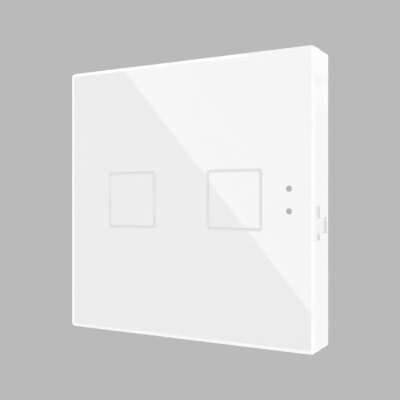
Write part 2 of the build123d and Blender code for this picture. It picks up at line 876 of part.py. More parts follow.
# Sections of the terminal poles, from the bottom up
shaft_low_z = -housing_height / 2 + wire_wall
shaft_z = shaft_low_z + shaft_size / 2
bar_low_z = shaft_low_z + cage_shaft_gap
bar_high_z = block_top_z - bar_tail_wall
bar_tail_z = bar_high_z - bar_tail_width / 2
bar_width = cage_size - 2 * cage_side_wall - 2 * bar_side_gap

# Power board: trapped between the tray's posts and the housing's ledges
relay_places = [(-relay_offset, relay_z), (relay_offset, relay_z)]
iron_left = iron_end_gap + relay_cover_wall - relay_length / 2
iron_right = iron_left + iron_length_share * relay_length
pole_face = iron_right + pole_step
common_strip_x = relay_length / 2 - relay_cover_wall - common_strip_inset
coil_pin_x = iron_left + coil_pin_inset_x
coil_pin_z = relay_width / 2 - relay_cover_wall - fit_gap - coil_pin_inset_z
armature_back = pole_face + armature_gap
armature_face = armature_back + armature_thickness
moving_button_face = armature_face - contact_button_length
fixed_strip_x = moving_button_face - contact_gap - fixed_button_length - relay_strip / 2
strip_hole_radius = relay_strip_width / 2 + pin_gap
small_pins = [
    (transformer_x - transformer_pin_x, transformer_z - transformer_pin_z),
    (transformer_x - transformer_pin_x, transformer_z + transformer_pin_z),
    (transformer_x + transformer_pin_x, transformer_z - transformer_pin_z),
    (transformer_x + transformer_pin_x, transformer_z + transformer_pin_z),
    (bulk_capacitor_x - bulk_capacitor_pin_x, transformer_z),
    (bulk_capacitor_x + bulk_capacitor_pin_x, transformer_z),
    (film_capacitor_x - film_capacitor_pin_x, film_capacitor_z),
    (film_capacitor_x + film_capacitor_pin_x, film_capacitor_z),
    (fuse_x - fuse_pin_x, fuse_z),
    (fuse_x + fuse_pin_x, fuse_z),
]

with BuildPart() as power_board:
    with BuildSketch(level(board_back)):
        Rectangle(housing_inner_width - 2 * board_edge_gap, housing_inner_height - 2 * board_edge_gap)
        with GridLocations(2 * column_x, 2 * column_z, 2, 2):
            Circle(column_radius + board_column_gap, mode=Mode.SUBTRACT)
        with GridLocations(
            2 * column_x + 2 * column_radius, 2 * column_z + 2 * column_radius, 2, 2
        ):
            Rectangle(2 * column_radius, 2 * column_radius, mode=Mode.SUBTRACT)
        with Locations(*header_places):
            Circle(contact_tail_radius + pin_gap, mode=Mode.SUBTRACT)
        with Locations(*small_pins):
            Circle(small_pin_radius + pin_gap, mode=Mode.SUBTRACT)
        with Locations(*[(x, bar_tail_z) for x in pole_places]):
            Circle(bar_tail_pin / 2 + 2 * pin_gap, mode=Mode.SUBTRACT)
        for x, z in relay_places:
            with Locations((x + fixed_strip_x, z), (x + common_strip_x, z)):
                Circle(strip_hole_radius, mode=Mode.SUBTRACT)
            with Locations((x + coil_pin_x, z - coil_pin_z), (x + coil_pin_x, z + coil_pin_z)):
                Circle(coil_pin_radius + pin_gap, mode=Mode.SUBTRACT)
    extrude(amount=board_thickness)
save(power_board, "power_board")

# Header socket on the front of the power board, with a forked contact in each cavity
with BuildPart() as header_socket:
    with BuildSketch(level(board_front)):
        with Locations((0, header_z)):
            Rectangle(header_ways * header_pitch + 2 * socket_end_wall, header_width)
    extrude(amount=socket_height)
    with BuildSketch(level(board_front)):
        with Locations(*header_places):
            Rectangle(socket_cavity, socket_cavity)
    extrude(amount=socket_height - socket_mouth_land, mode=Mode.SUBTRACT)
    with BuildSketch(level(board_front)):
        with Locations(*header_places):
            Rectangle(header_pin + 2 * fit_gap, header_pin + 2 * fit_gap)
    extrude(amount=socket_height, mode=Mode.SUBTRACT)
save(header_socket, "header_socket")

contact_inner = header_pin + 2 * running_gap
contact_outer = contact_inner + 2 * contact_strip

with BuildPart() as socket_contacts:
    with BuildSketch(level(board_front)):
        with Locations(*header_places):
            Rectangle(contact_width, contact_outer)
    extrude(amount=socket_height - socket_mouth_land - contact_lead_in)
    with BuildSketch(level(board_front + contact_base_height)):
        with Locations(*header_places):
            Rectangle(contact_width, contact_inner)
    extrude(amount=socket_height, mode=Mode.SUBTRACT)
    with BuildSketch(level(board_front)):
        with Locations(*header_places):
            Circle(contact_tail_radius)
    extrude(amount=-board_thickness - contact_tail_reach)
save(socket_contacts, "socket_contacts")

# Terminal blocks: two poles each, screws from the rear and wires from below
for block, side in enumerate(("left", "right")):
    block_poles = pole_places[block * poles_per_block : (block + 1) * poles_per_block]
    block_centre = sum(block_poles) / poles_per_block
    with BuildPart() as terminal_block:
        with BuildSketch(level(housing_back)):
            with Locations((block_centre, block_top_z - block_height / 2)):
                Rectangle(block_width, block_height)
        extrude(amount=board_back - housing_back)
        with BuildSketch(level(housing_back)):
            with Locations(*[(x, shaft_z) for x in block_poles]):
                Circle(terminal_screw_head_radius + 2 * fit_gap)
        extrude(amount=head_front + running_gap - housing_back, mode=Mode.SUBTRACT)
        with BuildSketch(level(housing_back)):
            with Locations(*[(x, shaft_z) for x in block_poles]):
                Circle(terminal_screw_radius + fit_gap)
        extrude(amount=shaft_start - housing_back, mode=Mode.SUBTRACT)
        with BuildSketch(level(shaft_start)):
            with Locations(*[(x, shaft_z) for x in block_poles]):
                Rectangle(shaft_size, shaft_size)
        extrude(amount=shaft_end - shaft_start, mode=Mode.SUBTRACT)
        # slot for the bar and channel for its tail
        for x in block_poles:
            with BuildSketch(along(x)):
                with Locations(((shaft_z + bar_tail_z) / 2, (bar_back + bar_front) / 2)):
                    Rectangle(
                        bar_tail_z - shaft_z + bar_tail_width + 2 * running_gap,
                        bar_thickness + 2 * running_gap,
                    )
                with Locations((bar_tail_z, (bar_back - running_gap + board_back) / 2)):
                    Rectangle(
                        bar_tail_width + 2 * running_gap, board_back - bar_back + running_gap
                    )
            extrude(amount=bar_width / 2 + running_gap, both=True, mode=Mode.SUBTRACT)
        # wire entries from below
        with BuildSketch(Plane.XY.offset(-housing_height / 2)):
            with Locations(*[(x, -wire_level) for x in block_poles]):
                Circle(wire_radius)
        extrude(amount=shaft_z + housing_height / 2, mode=Mode.SUBTRACT)
        wire_mouths = terminal_block.faces().sort_by(Axis.Z)[0].inner_wires().edges()
        chamfer(wire_mouths, wire_lead_in)
    save(terminal_block, "terminal_block_" + side)

# Terminal bars: a fixed brass bar inside each cage, with a tail through the power board
with BuildPart() as terminal_bars:
    for x in pole_places:
        with BuildSketch(along(x)):
            with Locations(((bar_low_z + bar_high_z) / 2, (bar_back + bar_front) / 2)):
                Rectangle(bar_high_z - bar_low_z, bar_thickness)
            with Locations((bar_tail_z, (bar_back + board_back) / 2)):
                Rectangle(bar_tail_width, board_back - bar_back)
        extrude(amount=bar_width / 2, both=True)
    with BuildSketch(level(board_back)):
        with Locations(*[(x, bar_tail_z) for x in pole_places]):
            Rectangle(bar_tail_pin, bar_tail_width)
    extrude(amount=pin_end - board_back)
save(terminal_bars, "terminal_bars")

# Terminal screws and rising cages, one of each for every pole
for number, x in enumerate(pole_places, start=1):
    with BuildPart() as terminal_screw:
        with BuildSketch(level(head_back)):
            with Locations((x, shaft_z)):
                Circle(terminal_screw_head_radius)
        extrude(amount=terminal_screw_head_height)
        with BuildSketch(level(head_front)):
            with Locations((x, shaft_z)):
                Circle(terminal_screw_radius)
        extrude(amount=terminal_screw_length)
        chamfer(terminal_screw.faces().sort_by(Axis.Y)[0].edges(), terminal_screw_tip)
        with BuildSketch(level(head_back)):
            with Locations((x, shaft_z)):
                Rectangle(2 * terminal_screw_head_radius, terminal_screw_slot_width)
        extrude(amount=terminal_screw_slot_depth, mode=Mode.SUBTRACT)
    save(terminal_screw, "terminal_screw_" + str(number))

    with BuildPart() as clamp_cage:
        with BuildSketch(across(shaft_z)):
            with Locations((x, (cage_open + cage_end) / 2)):
                RectangleRounded(cage_size, cage_end - cage_open, cage_corner)
            with Locations((x, (cage_open + cage_nut_wall + cage_inner_end) / 2)):
                Rectangle(
                    cage_size - 2 * cage_side_wall,
                    cage_inner_end - cage_open - cage_nut_wall,
                    mode=Mode.SUBTRACT,
                )
        extrude(amount=cage_size / 2, both=True)
        with BuildSketch(level(cage_open)):
            with Locations((x, shaft_z)):
                Circle(terminal_screw_radius + running_gap)
        extrude(amount=cage_nut_wall, mode=Mode.SUBTRACT)
    save(clamp_cage, "clamp_cage_" + str(number))


# Relays: in each, a height runs from the power board's back towards the rear
pivot_x = iron_right + fit_gap + pivot_radius
pivot_height = iron_top - iron_thickness / 2
armature_top = pivot_height + armature_tail
board_pass = board_thickness + pin_reach
bobbin_start = iron_left + iron_thickness + fit_gap
bobbin_end = pole_face - pole_thickness - bobbin_pole_gap
bobbin_bore = core_radius + running_gap
barrel_radius = bobbin_bore + bobbin_barrel_wall


def off_board(relay, height):
    """Plane parallel to the power board at this height off its back, centred on the relay."""
    x, z = relay
    return Plane(origin=(x, height - board_back, z), x_dir=(1, 0, 0), z_dir=(0, 1, 0))


def relay_section(relay):
    """Section plane through the relay: X runs right and the height off the board runs up."""
    x, z = relay
    return Plane(origin=(x, -board_back, z), x_dir=(1, 0, 0), z_dir=(0, 0, 1))


def coil_plane(relay, reach, height):
    """Plane square to the coil, this far right of the relay's centre, at this height."""
    x, z = relay
    return Plane(origin=(x + reach, height - board_back, z), x_dir=(0, 1, 0), z_dir=(1, 0, 0))


for side, relay in zip(("left", "right"), relay_places):
    name = "relay_" + side + "_"

    # base, with slots for the strips and holes for the coil pins
    with BuildPart() as relay_base:
        with BuildSketch(off_board(relay, 0)):
            Rectangle(
                relay_length - 2 * relay_cover_wall - 2 * fit_gap,
                relay_width - 2 * relay_cover_wall - 2 * fit_gap,
            )
            with Locations((fixed_strip_x, 0), (common_strip_x, 0)):
                Rectangle(
                    relay_strip + 2 * running_gap, relay_strip_width + 2 * running_gap, mode=Mode.SUBTRACT
                )
            with Locations((coil_pin_x, coil_pin_z), (coil_pin_x, -coil_pin_z)):
                Circle(coil_pin_radius + running_gap, mode=Mode.SUBTRACT)
        extrude(amount=relay_base_height)
    save(relay_base, name + "base")

    # cover, a thin box open towards the board
    with BuildPart() as relay_cover:
        with BuildSketch(off_board(relay, 0)):
            Rectangle(relay_length, relay_width)
        extrude(amount=relay_height)
        fillet(relay_cover.edges().filter_by(Axis.Y), relay_cover_fillet)
        with BuildSketch(off_board(relay, 0)):
            Rectangle(relay_length - 2 * relay_cover_wall, relay_width - 2 * relay_cover_wall)
        extrude(amount=relay_height - relay_cover_wall, mode=Mode.SUBTRACT)
    save(relay_cover, name + "cover")

    # iron frame: an L-shaped yoke with the core riveted through its short leg
    with BuildPart() as iron_frame:
        with BuildSketch(relay_section(relay)):
            with BuildLine():
                Polyline(
                    (iron_left, iron_bottom),
                    (iron_left + iron_thickness, iron_bottom),
                    (iron_left + iron_thickness, iron_top - iron_thickness),
                    (iron_right, iron_top - iron_thickness),
                    (iron_right, iron_top),
                    (iron_left, iron_top),
                    close=True,
                )
            make_face()
        extrude(amount=iron_width / 2, both=True)
        with BuildSketch(coil_plane(relay, iron_left, core_height)):
            Circle(core_radius)
        extrude(amount=pole_face - iron_left)
        with BuildSketch(coil_plane(relay, pole_face - pole_thickness, core_height)):
            Circle(pole_radius)
        extrude(amount=pole_thickness)
    save(iron_frame, name + "iron_frame")

    # bobbin and its winding round the core
    with BuildPart() as bobbin:
        with BuildSketch(coil_plane(relay, bobbin_start, core_height)):
            Circle(barrel_radius)
        extrude(amount=bobbin_end - bobbin_start)
        for start in (bobbin_start, bobbin_end - bobbin_flange_thickness):
            with BuildSketch(coil_plane(relay, start, core_height)):
                Circle(bobbin_flange_radius)
            extrude(amount=bobbin_flange_thickness)
        with BuildSketch(coil_plane(relay, bobbin_start, core_height)):
            Circle(bobbin_bore)
        extrude(amount=bobbin_end - bobbin_start, mode=Mode.SUBTRACT)
    save(bobbin, name + "bobbin")

    with BuildPart() as winding:
        with BuildSketch(coil_plane(relay, bobbin_start + bobbin_flange_thickness, core_height)):
            Circle(winding_radius)
            Circle(barrel_radius, mode=Mode.SUBTRACT)
        extrude(amount=bobbin_end - bobbin_start - 2 * bobbin_flange_thickness)
    save(winding, name + "winding")

    # fixed contact, common strip and coil pins, all through the board
    with BuildPart() as relay_terminals:
        with BuildSketch(off_board(relay, -board_pass)):
            with Locations((fixed_strip_x, 0)):
                Rectangle(relay_strip, relay_strip_width)
        extrude(amount=board_pass + relay_strip_top)
        with BuildSketch(off_board(relay, -board_pass)):
            with Locations((common_strip_x, 0)):
                Rectangle(relay_strip, relay_strip_width)
        extrude(amount=board_pass + contact_button_height)
        with BuildSketch(off_board(relay, -board_pass)):
            with Locations((coil_pin_x, coil_pin_z), (coil_pin_x, -coil_pin_z)):
                Circle(coil_pin_radius)
        extrude(amount=board_pass + coil_pin_top)
        with BuildSketch(coil_plane(relay, fixed_strip_x + relay_strip / 2, contact_button_height)):
            Circle(contact_button_radius)
        extrude(amount=fixed_button_length)
    save(relay_terminals, name + "terminals")

    # armature: an iron plate with a rounded knife edge against the end of the yoke
    with BuildPart() as armature:
        with BuildSketch(relay_section(relay)):
            with BuildLine():
                Polyline(
                    (armature_back, armature_bottom),
                    (armature_face, armature_bottom),
                    (armature_face, armature_top),
                    (armature_back, armature_top),
                    close=True,
                )
            make_face()
            with Locations((pivot_x, pivot_height)):
                Circle(pivot_radius)
            with Locations(((pivot_x + armature_back) / 2, pivot_height)):
                Rectangle(armature_back - pivot_x, 2 * pivot_radius)
        extrude(amount=armature_width / 2, both=True)
    save(armature, name + "armature")

    # moving contact: a leaf on the armature with a silver button facing the fixed one
    with BuildPart() as moving_contact:
        with BuildSketch(relay_section(relay)):
            with Locations((armature_face + contact_leaf / 2, (contact_leaf_bottom + pivot_height) / 2)):
                Rectangle(contact_leaf, pivot_height - contact_leaf_bottom)
        extrude(amount=contact_leaf_width / 2, both=True)
        with BuildSketch(coil_plane(relay, armature_face - contact_button_length, contact_button_height)):
            Circle(contact_button_radius)
        extrude(amount=contact_button_length)
    save(moving_contact, name + "contact")


# Power supply parts, which stand on the power board's back like the relays
def pins(places):
    """Round pins through the board at these places of the current sketch plane."""
    with Locations(*places):
        Circle(small_pin_radius)


transformer = (transformer_x, transformer_z)
transformer_seat = transformer_base_height + fit_gap
window_x = (transformer_limb + transformer_window_width) / 2
core_centre = transformer_seat + transformer_core_height / 2

with BuildPart() as transformer_core:
    with BuildSketch(relay_section(transformer)):
        with Locations((0, core_centre)):
            Rectangle(transformer_core_length, transformer_core_height)
            with GridLocations(2 * window_x, 0, 2, 1):
                Rectangle(transformer_window_width, transformer_window_height, mode=Mode.SUBTRACT)
    extrude(amount=transformer_core_width / 2, both=True)
save(transformer_core, "transformer_core")

winding_outer_x = transformer_limb + 2 * transformer_window_width - 2 * fit_gap
winding_inner_x = transformer_limb + 2 * fit_gap
winding_inner_z = transformer_core_width + 2 * fit_gap
winding_outer_z = winding_inner_z + winding_outer_x - winding_inner_x
winding_height = transformer_window_height - 2 * fit_gap
winding_start = core_centre - winding_height / 2

with BuildPart() as transformer_winding:
    with BuildSketch(off_board(transformer, winding_start)):
        RectangleRounded(winding_outer_x, winding_outer_z, (winding_outer_x - winding_inner_x) / 2)
        Rectangle(winding_inner_x, winding_inner_z, mode=Mode.SUBTRACT)
    extrude(amount=winding_height)
save(transformer_winding, "transformer_winding")

with BuildPart() as transformer_base:
    with BuildSketch(off_board(transformer, 0)):
        RectangleRounded(transformer_base_size, transformer_base_size, small_pin_radius)
    extrude(amount=transformer_base_height)
    with BuildSketch(off_board(transformer, -board_pass)):
        with GridLocations(2 * transformer_pin_x, 2 * transformer_pin_z, 2, 2):
            Circle(small_pin_radius)
    extrude(amount=board_pass)
save(transformer_base, "transformer_base")

# Bulk capacitor: a can with a rolled groove near its foot
bulk_capacitor_place = (bulk_capacitor_x, transformer_z)

with BuildPart() as bulk_capacitor:
    with BuildSketch(off_board(bulk_capacitor_place, 0)):
        Circle(bulk_capacitor_radius)
    extrude(amount=bulk_capacitor_height)
    with BuildSketch(off_board(bulk_capacitor_place, bulk_capacitor_groove_height)):
        Circle(bulk_capacitor_radius)
        Circle(bulk_capacitor_radius - bulk_capacitor_groove, mode=Mode.SUBTRACT)
    extrude(amount=bulk_capacitor_groove_width, mode=Mode.SUBTRACT)
    fillet(bulk_capacitor.faces().sort_by(Axis.Y)[-1].edges(), bulk_capacitor_fillet)
    with BuildSketch(off_board(bulk_capacitor_place, -board_pass)):
        pins([(-bulk_capacitor_pin_x, 0), (bulk_capacitor_pin_x, 0)])
    extrude(amount=board_pass)
save(bulk_capacitor, "bulk_capacitor")

# Film capacitor and fuse: moulded boxes on two pins
with BuildPart() as film_capacitor:
    with BuildSketch(off_board((film_capacitor_x, film_capacitor_z), 0)):
        Rectangle(film_capacitor_length, film_capacitor_width)
    extrude(amount=film_capacitor_height)
    fillet(film_capacitor.edges().filter_by(Axis.Y), film_capacitor_fillet)
    with BuildSketch(off_board((film_capacitor_x, film_capacitor_z), -board_pass)):
        pins([(-film_capacitor_pin_x, 0), (film_capacitor_pin_x, 0)])
    extrude(amount=board_pass)
save(film_capacitor, "film_capacitor")

with BuildPart() as board_fuse:
    with BuildSketch(off_board((fuse_x, fuse_z), 0)):
        Rectangle(fuse_length, fuse_width)
    extrude(amount=fuse_height)
    fillet(board_fuse.edges().filter_by(Axis.Y), fuse_fillet)
    with BuildSketch(off_board((fuse_x, fuse_z), -board_pass)):
        pins([(-fuse_pin_x, 0), (fuse_pin_x, 0)])
    extrude(amount=board_pass)
save(board_fuse, "board_fuse")

# Supply chip: a moulded body on two rows of flat legs
with BuildPart() as supply_chip:
    with BuildSketch(off_board((0, supply_chip_z), 0)):
        with GridLocations(chip_leg_pitch, 0, chip_legs_per_side, 1):
            Rectangle(chip_leg_width, supply_chip_width + 2 * chip_leg_reach)
    extrude(amount=chip_leg_thickness)
    with BuildSketch(off_board((0, supply_chip_z), 0)):
        Rectangle(supply_chip_length, supply_chip_width)
    extrude(amount=supply_chip_height)
    chamfer(supply_chip.faces().sort_by(Axis.Y)[-1].edges(), supply_chip_bevel)
save(supply_chip, "supply_chip")
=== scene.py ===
import json
import bpy
import numpy as np
from math import pi, radians
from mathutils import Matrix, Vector


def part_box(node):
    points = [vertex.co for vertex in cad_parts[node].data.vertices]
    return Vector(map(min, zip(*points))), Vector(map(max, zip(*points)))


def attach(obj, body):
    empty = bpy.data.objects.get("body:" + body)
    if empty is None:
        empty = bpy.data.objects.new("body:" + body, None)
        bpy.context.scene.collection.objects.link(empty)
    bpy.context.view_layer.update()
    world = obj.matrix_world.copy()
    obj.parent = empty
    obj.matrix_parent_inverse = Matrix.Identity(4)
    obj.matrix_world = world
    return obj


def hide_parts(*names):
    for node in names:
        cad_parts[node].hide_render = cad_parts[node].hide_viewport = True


# Touch light switch: finishes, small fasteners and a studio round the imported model.
# X runs right and Z up as the room sees it, and Y runs into the wall, all in metres. Sizes of
# pieces and places on them are given in mm, and depths of relief in metres.
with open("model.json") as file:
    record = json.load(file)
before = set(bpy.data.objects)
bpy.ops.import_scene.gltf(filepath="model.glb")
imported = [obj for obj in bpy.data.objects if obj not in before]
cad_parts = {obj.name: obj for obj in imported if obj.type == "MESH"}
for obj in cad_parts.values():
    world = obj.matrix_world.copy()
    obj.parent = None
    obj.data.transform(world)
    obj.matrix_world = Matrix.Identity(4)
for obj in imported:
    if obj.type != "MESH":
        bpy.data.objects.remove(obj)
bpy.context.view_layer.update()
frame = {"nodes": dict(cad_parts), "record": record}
mm = 0.001
noiseSpan = (0.3, 0.7)  # nearly all values of a noise texture lie between these
nodes = frame["nodes"]
slotOfNode = {part["node"]: part["material_slot"] for part in frame["record"]["subparts"]}
print("frame loaded:", len(nodes), "nodes")


# a new object at the origin, in the scene
def addObject(name, data):
    made = bpy.data.objects.new(name, data)
    bpy.context.scene.collection.objects.link(made)
    return made


# shader nodes: inputs are given by name or number, as a value or as another node's output
def addNode(tree, kind, inputs=None, **settings):
    made = tree.nodes.new("ShaderNode" + kind)
    for key, value in settings.items():
        setattr(made, key, value)
    for key, value in (inputs or {}).items():
        if isinstance(value, bpy.types.NodeSocket):
            tree.links.new(value, made.inputs[key])
        else:
            made.inputs[key].default_value = value
    return made


def noiseAt(tree, where, scale, detail=3.0, rough=0.5):
    made = addNode(tree, "TexNoise", {"Vector": where, "Scale": scale, "Detail": detail,
                                      "Roughness": rough})
    return made.outputs[0]


# values from one span are carried to low and high, evenly or with soft ends
def spanOf(tree, value, low, high, span=noiseSpan, ends="LINEAR"):
    made = addNode(tree, "MapRange", {"Value": value, "From Min": span[0], "From Max": span[1],
                                      "To Min": low, "To Max": high}, interpolation_type=ends)
    return made.outputs["Result"]


def mathOf(tree, operation, first, second=0.0):
    return addNode(tree, "Math", {0: first, 1: second}, operation=operation).outputs[0]


# first where share is 0, second where it is 1
def mixOf(tree, share, first, second):
    made = addNode(tree, "Mix", {0: share, 6: first, 7: second}, data_type="RGBA")
    return made.outputs[2]


def rampOf(tree, value, stops):
    made = addNode(tree, "ValToRGB", {0: value})
    ramp = made.color_ramp
    while len(ramp.elements) < len(stops):
        ramp.elements.new(0.5)
    for element, (place, colour) in zip(ramp.elements, stops):
        element.position = place
        element.color = (*colour[:3], 1.0)
    return made.outputs[0]


def shade(colour, factor):
    return tuple(min(1.0, max(0.0, channel * factor)) for channel in colour[:3])


# noises that every finish shares: glossRatio is how much finer gloss is than the tone patches
finishNoise = dict(patchDetail=4.0, patchRough=0.55, glossRatio=2.7, glossDetail=3.0,
                   glossRough=0.6, grainDetail=2.0, grainRough=0.5)


# a finish starts here: tone patches, uneven gloss and a fine grain, all on Object coordinates
def startFinish(name, look):
    made = bpy.data.materials.new(name)
    made.use_nodes = True
    tree = made.node_tree
    shader = tree.nodes["Principled BSDF"]
    shader.inputs["Metallic"].default_value = look.get("metal", 0.0)
    shader.inputs["IOR"].default_value = 1.5  # glass, enamel and plastics alike
    where = addNode(tree, "TexCoord").outputs["Object"]
    stretch = look.get("stretch", (1, 1, 1))
    where = addNode(tree, "Mapping", {"Vector": where, "Scale": stretch}).outputs["Vector"]
    patches = noiseAt(tree, where, look["patch"],
                      finishNoise["patchDetail"], finishNoise["patchRough"])
    low = shade(look["colour"], 1 - look["spread"])
    high = shade(look["colour"], 1 + look["spread"])
    tone = rampOf(tree, patches,
                  [(noiseSpan[0], low), (0.5, look["colour"]), (noiseSpan[1], high)])
    gloss = noiseAt(tree, where, look["patch"] * finishNoise["glossRatio"],
                    finishNoise["glossDetail"], finishNoise["glossRough"])
    rough = spanOf(tree, gloss, look["rough"] - look["roughSpread"],
                   look["rough"] + look["roughSpread"])
    grain = noiseAt(tree, where, look["grain"],
                    finishNoise["grainDetail"], finishNoise["grainRough"])
    return dict(material=made, tree=tree, shader=shader, where=where, tone=tone, rough=rough,
                relief=grain, depth=look["depth"])


# and ends here: tone, gloss and relief go into the shader
def endFinish(parts):
    tree, shader = parts["tree"], parts["shader"]
    tree.links.new(parts["tone"], shader.inputs["Base Color"])
    tree.links.new(parts["rough"], shader.inputs["Roughness"])
    bump = addNode(tree, "Bump", {"Height": parts["relief"], "Distance": parts["depth"],
                                  "Strength": 1.0})
    tree.links.new(bump.outputs["Normal"], shader.inputs["Normal"])
    return parts["material"]


# waves along X and along Z, as two outputs
def crossedWaves(tree, where, scale):
    return [addNode(tree, "TexWave", {"Vector": where, "Scale": scale},
                    bands_direction=axis).outputs["Fac"] for axis in ("X", "Z")]


# 1 inside a box given as axis: (low, high) in mm, on Object coordinates, 0 outside it
def insideBox(tree, where, box):
    axes = addNode(tree, "SeparateXYZ", {0: where}).outputs
    inside = 1.0
    for axis, (low, high) in box.items():
        above = mathOf(tree, "GREATER_THAN", axes[axis], low * mm)
        below = mathOf(tree, "LESS_THAN", axes[axis], high * mm)
        inside = mathOf(tree, "MULTIPLY", inside, mathOf(tree, "MULTIPLY", above, below))
    return inside


# a finish takes another colour inside a box
def tintInside(parts, box, colour):
    inside = insideBox(parts["tree"], parts["where"], box)
    parts["tone"] = mixOf(parts["tree"], inside, parts["tone"], (*colour, 1.0))


# moulded plastics, enamel, lenses and resins: tone, gloss and grain alone. Patch and grain are
# scales of noise, and spread is the share by which the tone varies
plainLooks = {
    "grey_enamel": dict(colour=(0.736, 0.736, 0.741), spread=0.01, patch=300, rough=0.20,
                        roughSpread=0.03, grain=9000, depth=0.000001),
    "indicator_grey": dict(colour=(0.388, 0.388, 0.393), spread=0.03, patch=900, rough=0.14,
                           roughSpread=0.04, grain=7000, depth=0.000001),
    "base_white": dict(colour=(0.80, 0.80, 0.79), spread=0.012, patch=110, rough=0.52,
                       roughSpread=0.06, grain=3600, depth=0.000012),
    "black_moulding": dict(colour=(0.022, 0.022, 0.024), spread=0.12, patch=260, rough=0.42,
                           roughSpread=0.08, grain=4200, depth=0.000008),
    "chip_black": dict(colour=(0.016, 0.016, 0.018), spread=0.15, patch=700, rough=0.62,
                       roughSpread=0.08, grain=9500, depth=0.000008),
    "terminal_grey": dict(colour=(0.115, 0.118, 0.125), spread=0.05, patch=220, rough=0.38,
                          roughSpread=0.07, grain=4200, depth=0.000006),
    "relay_blue": dict(colour=(0.018, 0.085, 0.30), spread=0.06, patch=180, rough=0.24,
                       roughSpread=0.06, grain=3000, depth=0.000004),
    "bobbin_cream": dict(colour=(0.72, 0.67, 0.54), spread=0.04, patch=420, rough=0.48,
                         roughSpread=0.07, grain=5000, depth=0.000008),
    "film_yellow": dict(colour=(0.66, 0.43, 0.035), spread=0.05, patch=240, rough=0.28,
                        roughSpread=0.07, grain=3200, depth=0.000006),
    "fuse_brown": dict(colour=(0.075, 0.036, 0.022), spread=0.08, patch=320, rough=0.30,
                       roughSpread=0.07, grain=4000, depth=0.000006),
    "led_lens": dict(colour=(0.82, 0.74, 0.40), spread=0.08, patch=1600, rough=0.14,
                     roughSpread=0.04, grain=6000, depth=0.000003),
    "ferrite": dict(colour=(0.055, 0.055, 0.060), spread=0.20, patch=900, rough=0.58,
                    roughSpread=0.12, grain=6500, depth=0.000016),
}
# plated sheet, strip, bar and wire: stretch draws the grain out along the rolling direction
metalLooks = {
    "spring_steel": dict(colour=(0.60, 0.60, 0.61), spread=0.06, patch=420, rough=0.24, metal=1.0,
                         roughSpread=0.07, grain=5200, depth=0.000003, stretch=(0.15, 1, 1)),
    "screw_steel": dict(colour=(0.66, 0.65, 0.61), spread=0.07, patch=700, rough=0.30, metal=1.0,
                        roughSpread=0.08, grain=6200, depth=0.000003),
    "cage_steel": dict(colour=(0.66, 0.63, 0.54), spread=0.09, patch=520, rough=0.34, metal=1.0,
                       roughSpread=0.09, grain=4300, depth=0.000006, stretch=(1, 1, 0.3)),
    "relay_iron": dict(colour=(0.58, 0.57, 0.55), spread=0.06, patch=430, rough=0.32, metal=1.0,
                       roughSpread=0.08, grain=4300, depth=0.000004, stretch=(0.3, 1, 1)),
    "copper": dict(colour=(0.80, 0.42, 0.26), spread=0.10, patch=520, rough=0.33, metal=1.0,
                   roughSpread=0.09, grain=5200, depth=0.000003),
    "bronze_strip": dict(colour=(0.74, 0.50, 0.25), spread=0.08, patch=420, rough=0.28, metal=1.0,
                         roughSpread=0.08, grain=5200, depth=0.000003, stretch=(1, 1, 0.25)),
    "terminal_brass": dict(colour=(0.74, 0.56, 0.25), spread=0.08, patch=380, rough=0.27,
                           metal=1.0, roughSpread=0.08, grain=4600, depth=0.000004,
                           stretch=(0.2, 1, 1)),
    "gold_pin": dict(colour=(0.86, 0.62, 0.24), spread=0.06, patch=800, rough=0.20, metal=1.0,
                     roughSpread=0.05, grain=6500, depth=0.000002),
}
finishes = {}
for slotName, look in {**plainLooks, **metalLooks}.items():
    finishes[slotName] = endFinish(startFinish(slotName, look))


# opal glass: polished, with the faintest change of tone and gloss. Painted highlight: the ground
# bevel is paler from bevelFrom outwards and in front of bevelBack. Painted light: the steep walls
# of the thumb scoop are paler. Painted shade: the scoop's floor is a little darker
glassLook = dict(colour=(0.861, 0.861, 0.861), spread=0.002, patch=22, rough=0.02,
                 roughSpread=0.003, grain=30, depth=0.0000002,
                 paintedHighlightBevelColour=(0.968, 0.969, 0.970), bevelFrom=42.0, bevelBack=-12.22,
                 paintedShadeScoopColour=(0.816, 0.816, 0.816),
                 paintedShadeScoopBox={"X": (42.0, 42.85), "Y": (-11.25, -7.0), "Z": (-11.35, -1.75)},
                 paintedLightWallColour=(0.98, 0.98, 0.98),
                 paintedLightWallBox={"X": (42.52, 42.97), "Y": (-11.3, -7.4), "Z": (-11.4, -1.7)})
parts = startFinish("opal_glass", glassLook)
tree = parts["tree"]
axes = addNode(tree, "SeparateXYZ", {0: parts["where"]}).outputs
outermost = mathOf(tree, "MAXIMUM", mathOf(tree, "ABSOLUTE", axes["X"]),
                   mathOf(tree, "ABSOLUTE", axes["Z"]))
paintedHighlightMask = mathOf(tree, "MULTIPLY",
                 mathOf(tree, "GREATER_THAN", outermost, glassLook["bevelFrom"] * mm),
                 mathOf(tree, "LESS_THAN", axes["Y"], glassLook["bevelBack"] * mm))
# painted highlight: the bevel is coloured paler than the face, standing in for its glint
parts["tone"] = mixOf(tree, paintedHighlightMask, parts["tone"], (*glassLook["paintedHighlightBevelColour"], 1.0))
# painted shade: the scoop's floor is coloured darker, as the recess would shade it
tintInside(parts, glassLook["paintedShadeScoopBox"], glassLook["paintedShadeScoopColour"])
# painted light: the scoop's steep walls are coloured paler to lift the shade they lie in
tintInside(parts, glassLook["paintedLightWallBox"], glassLook["paintedLightWallColour"])
finishes["opal_glass"] = endFinish(parts)

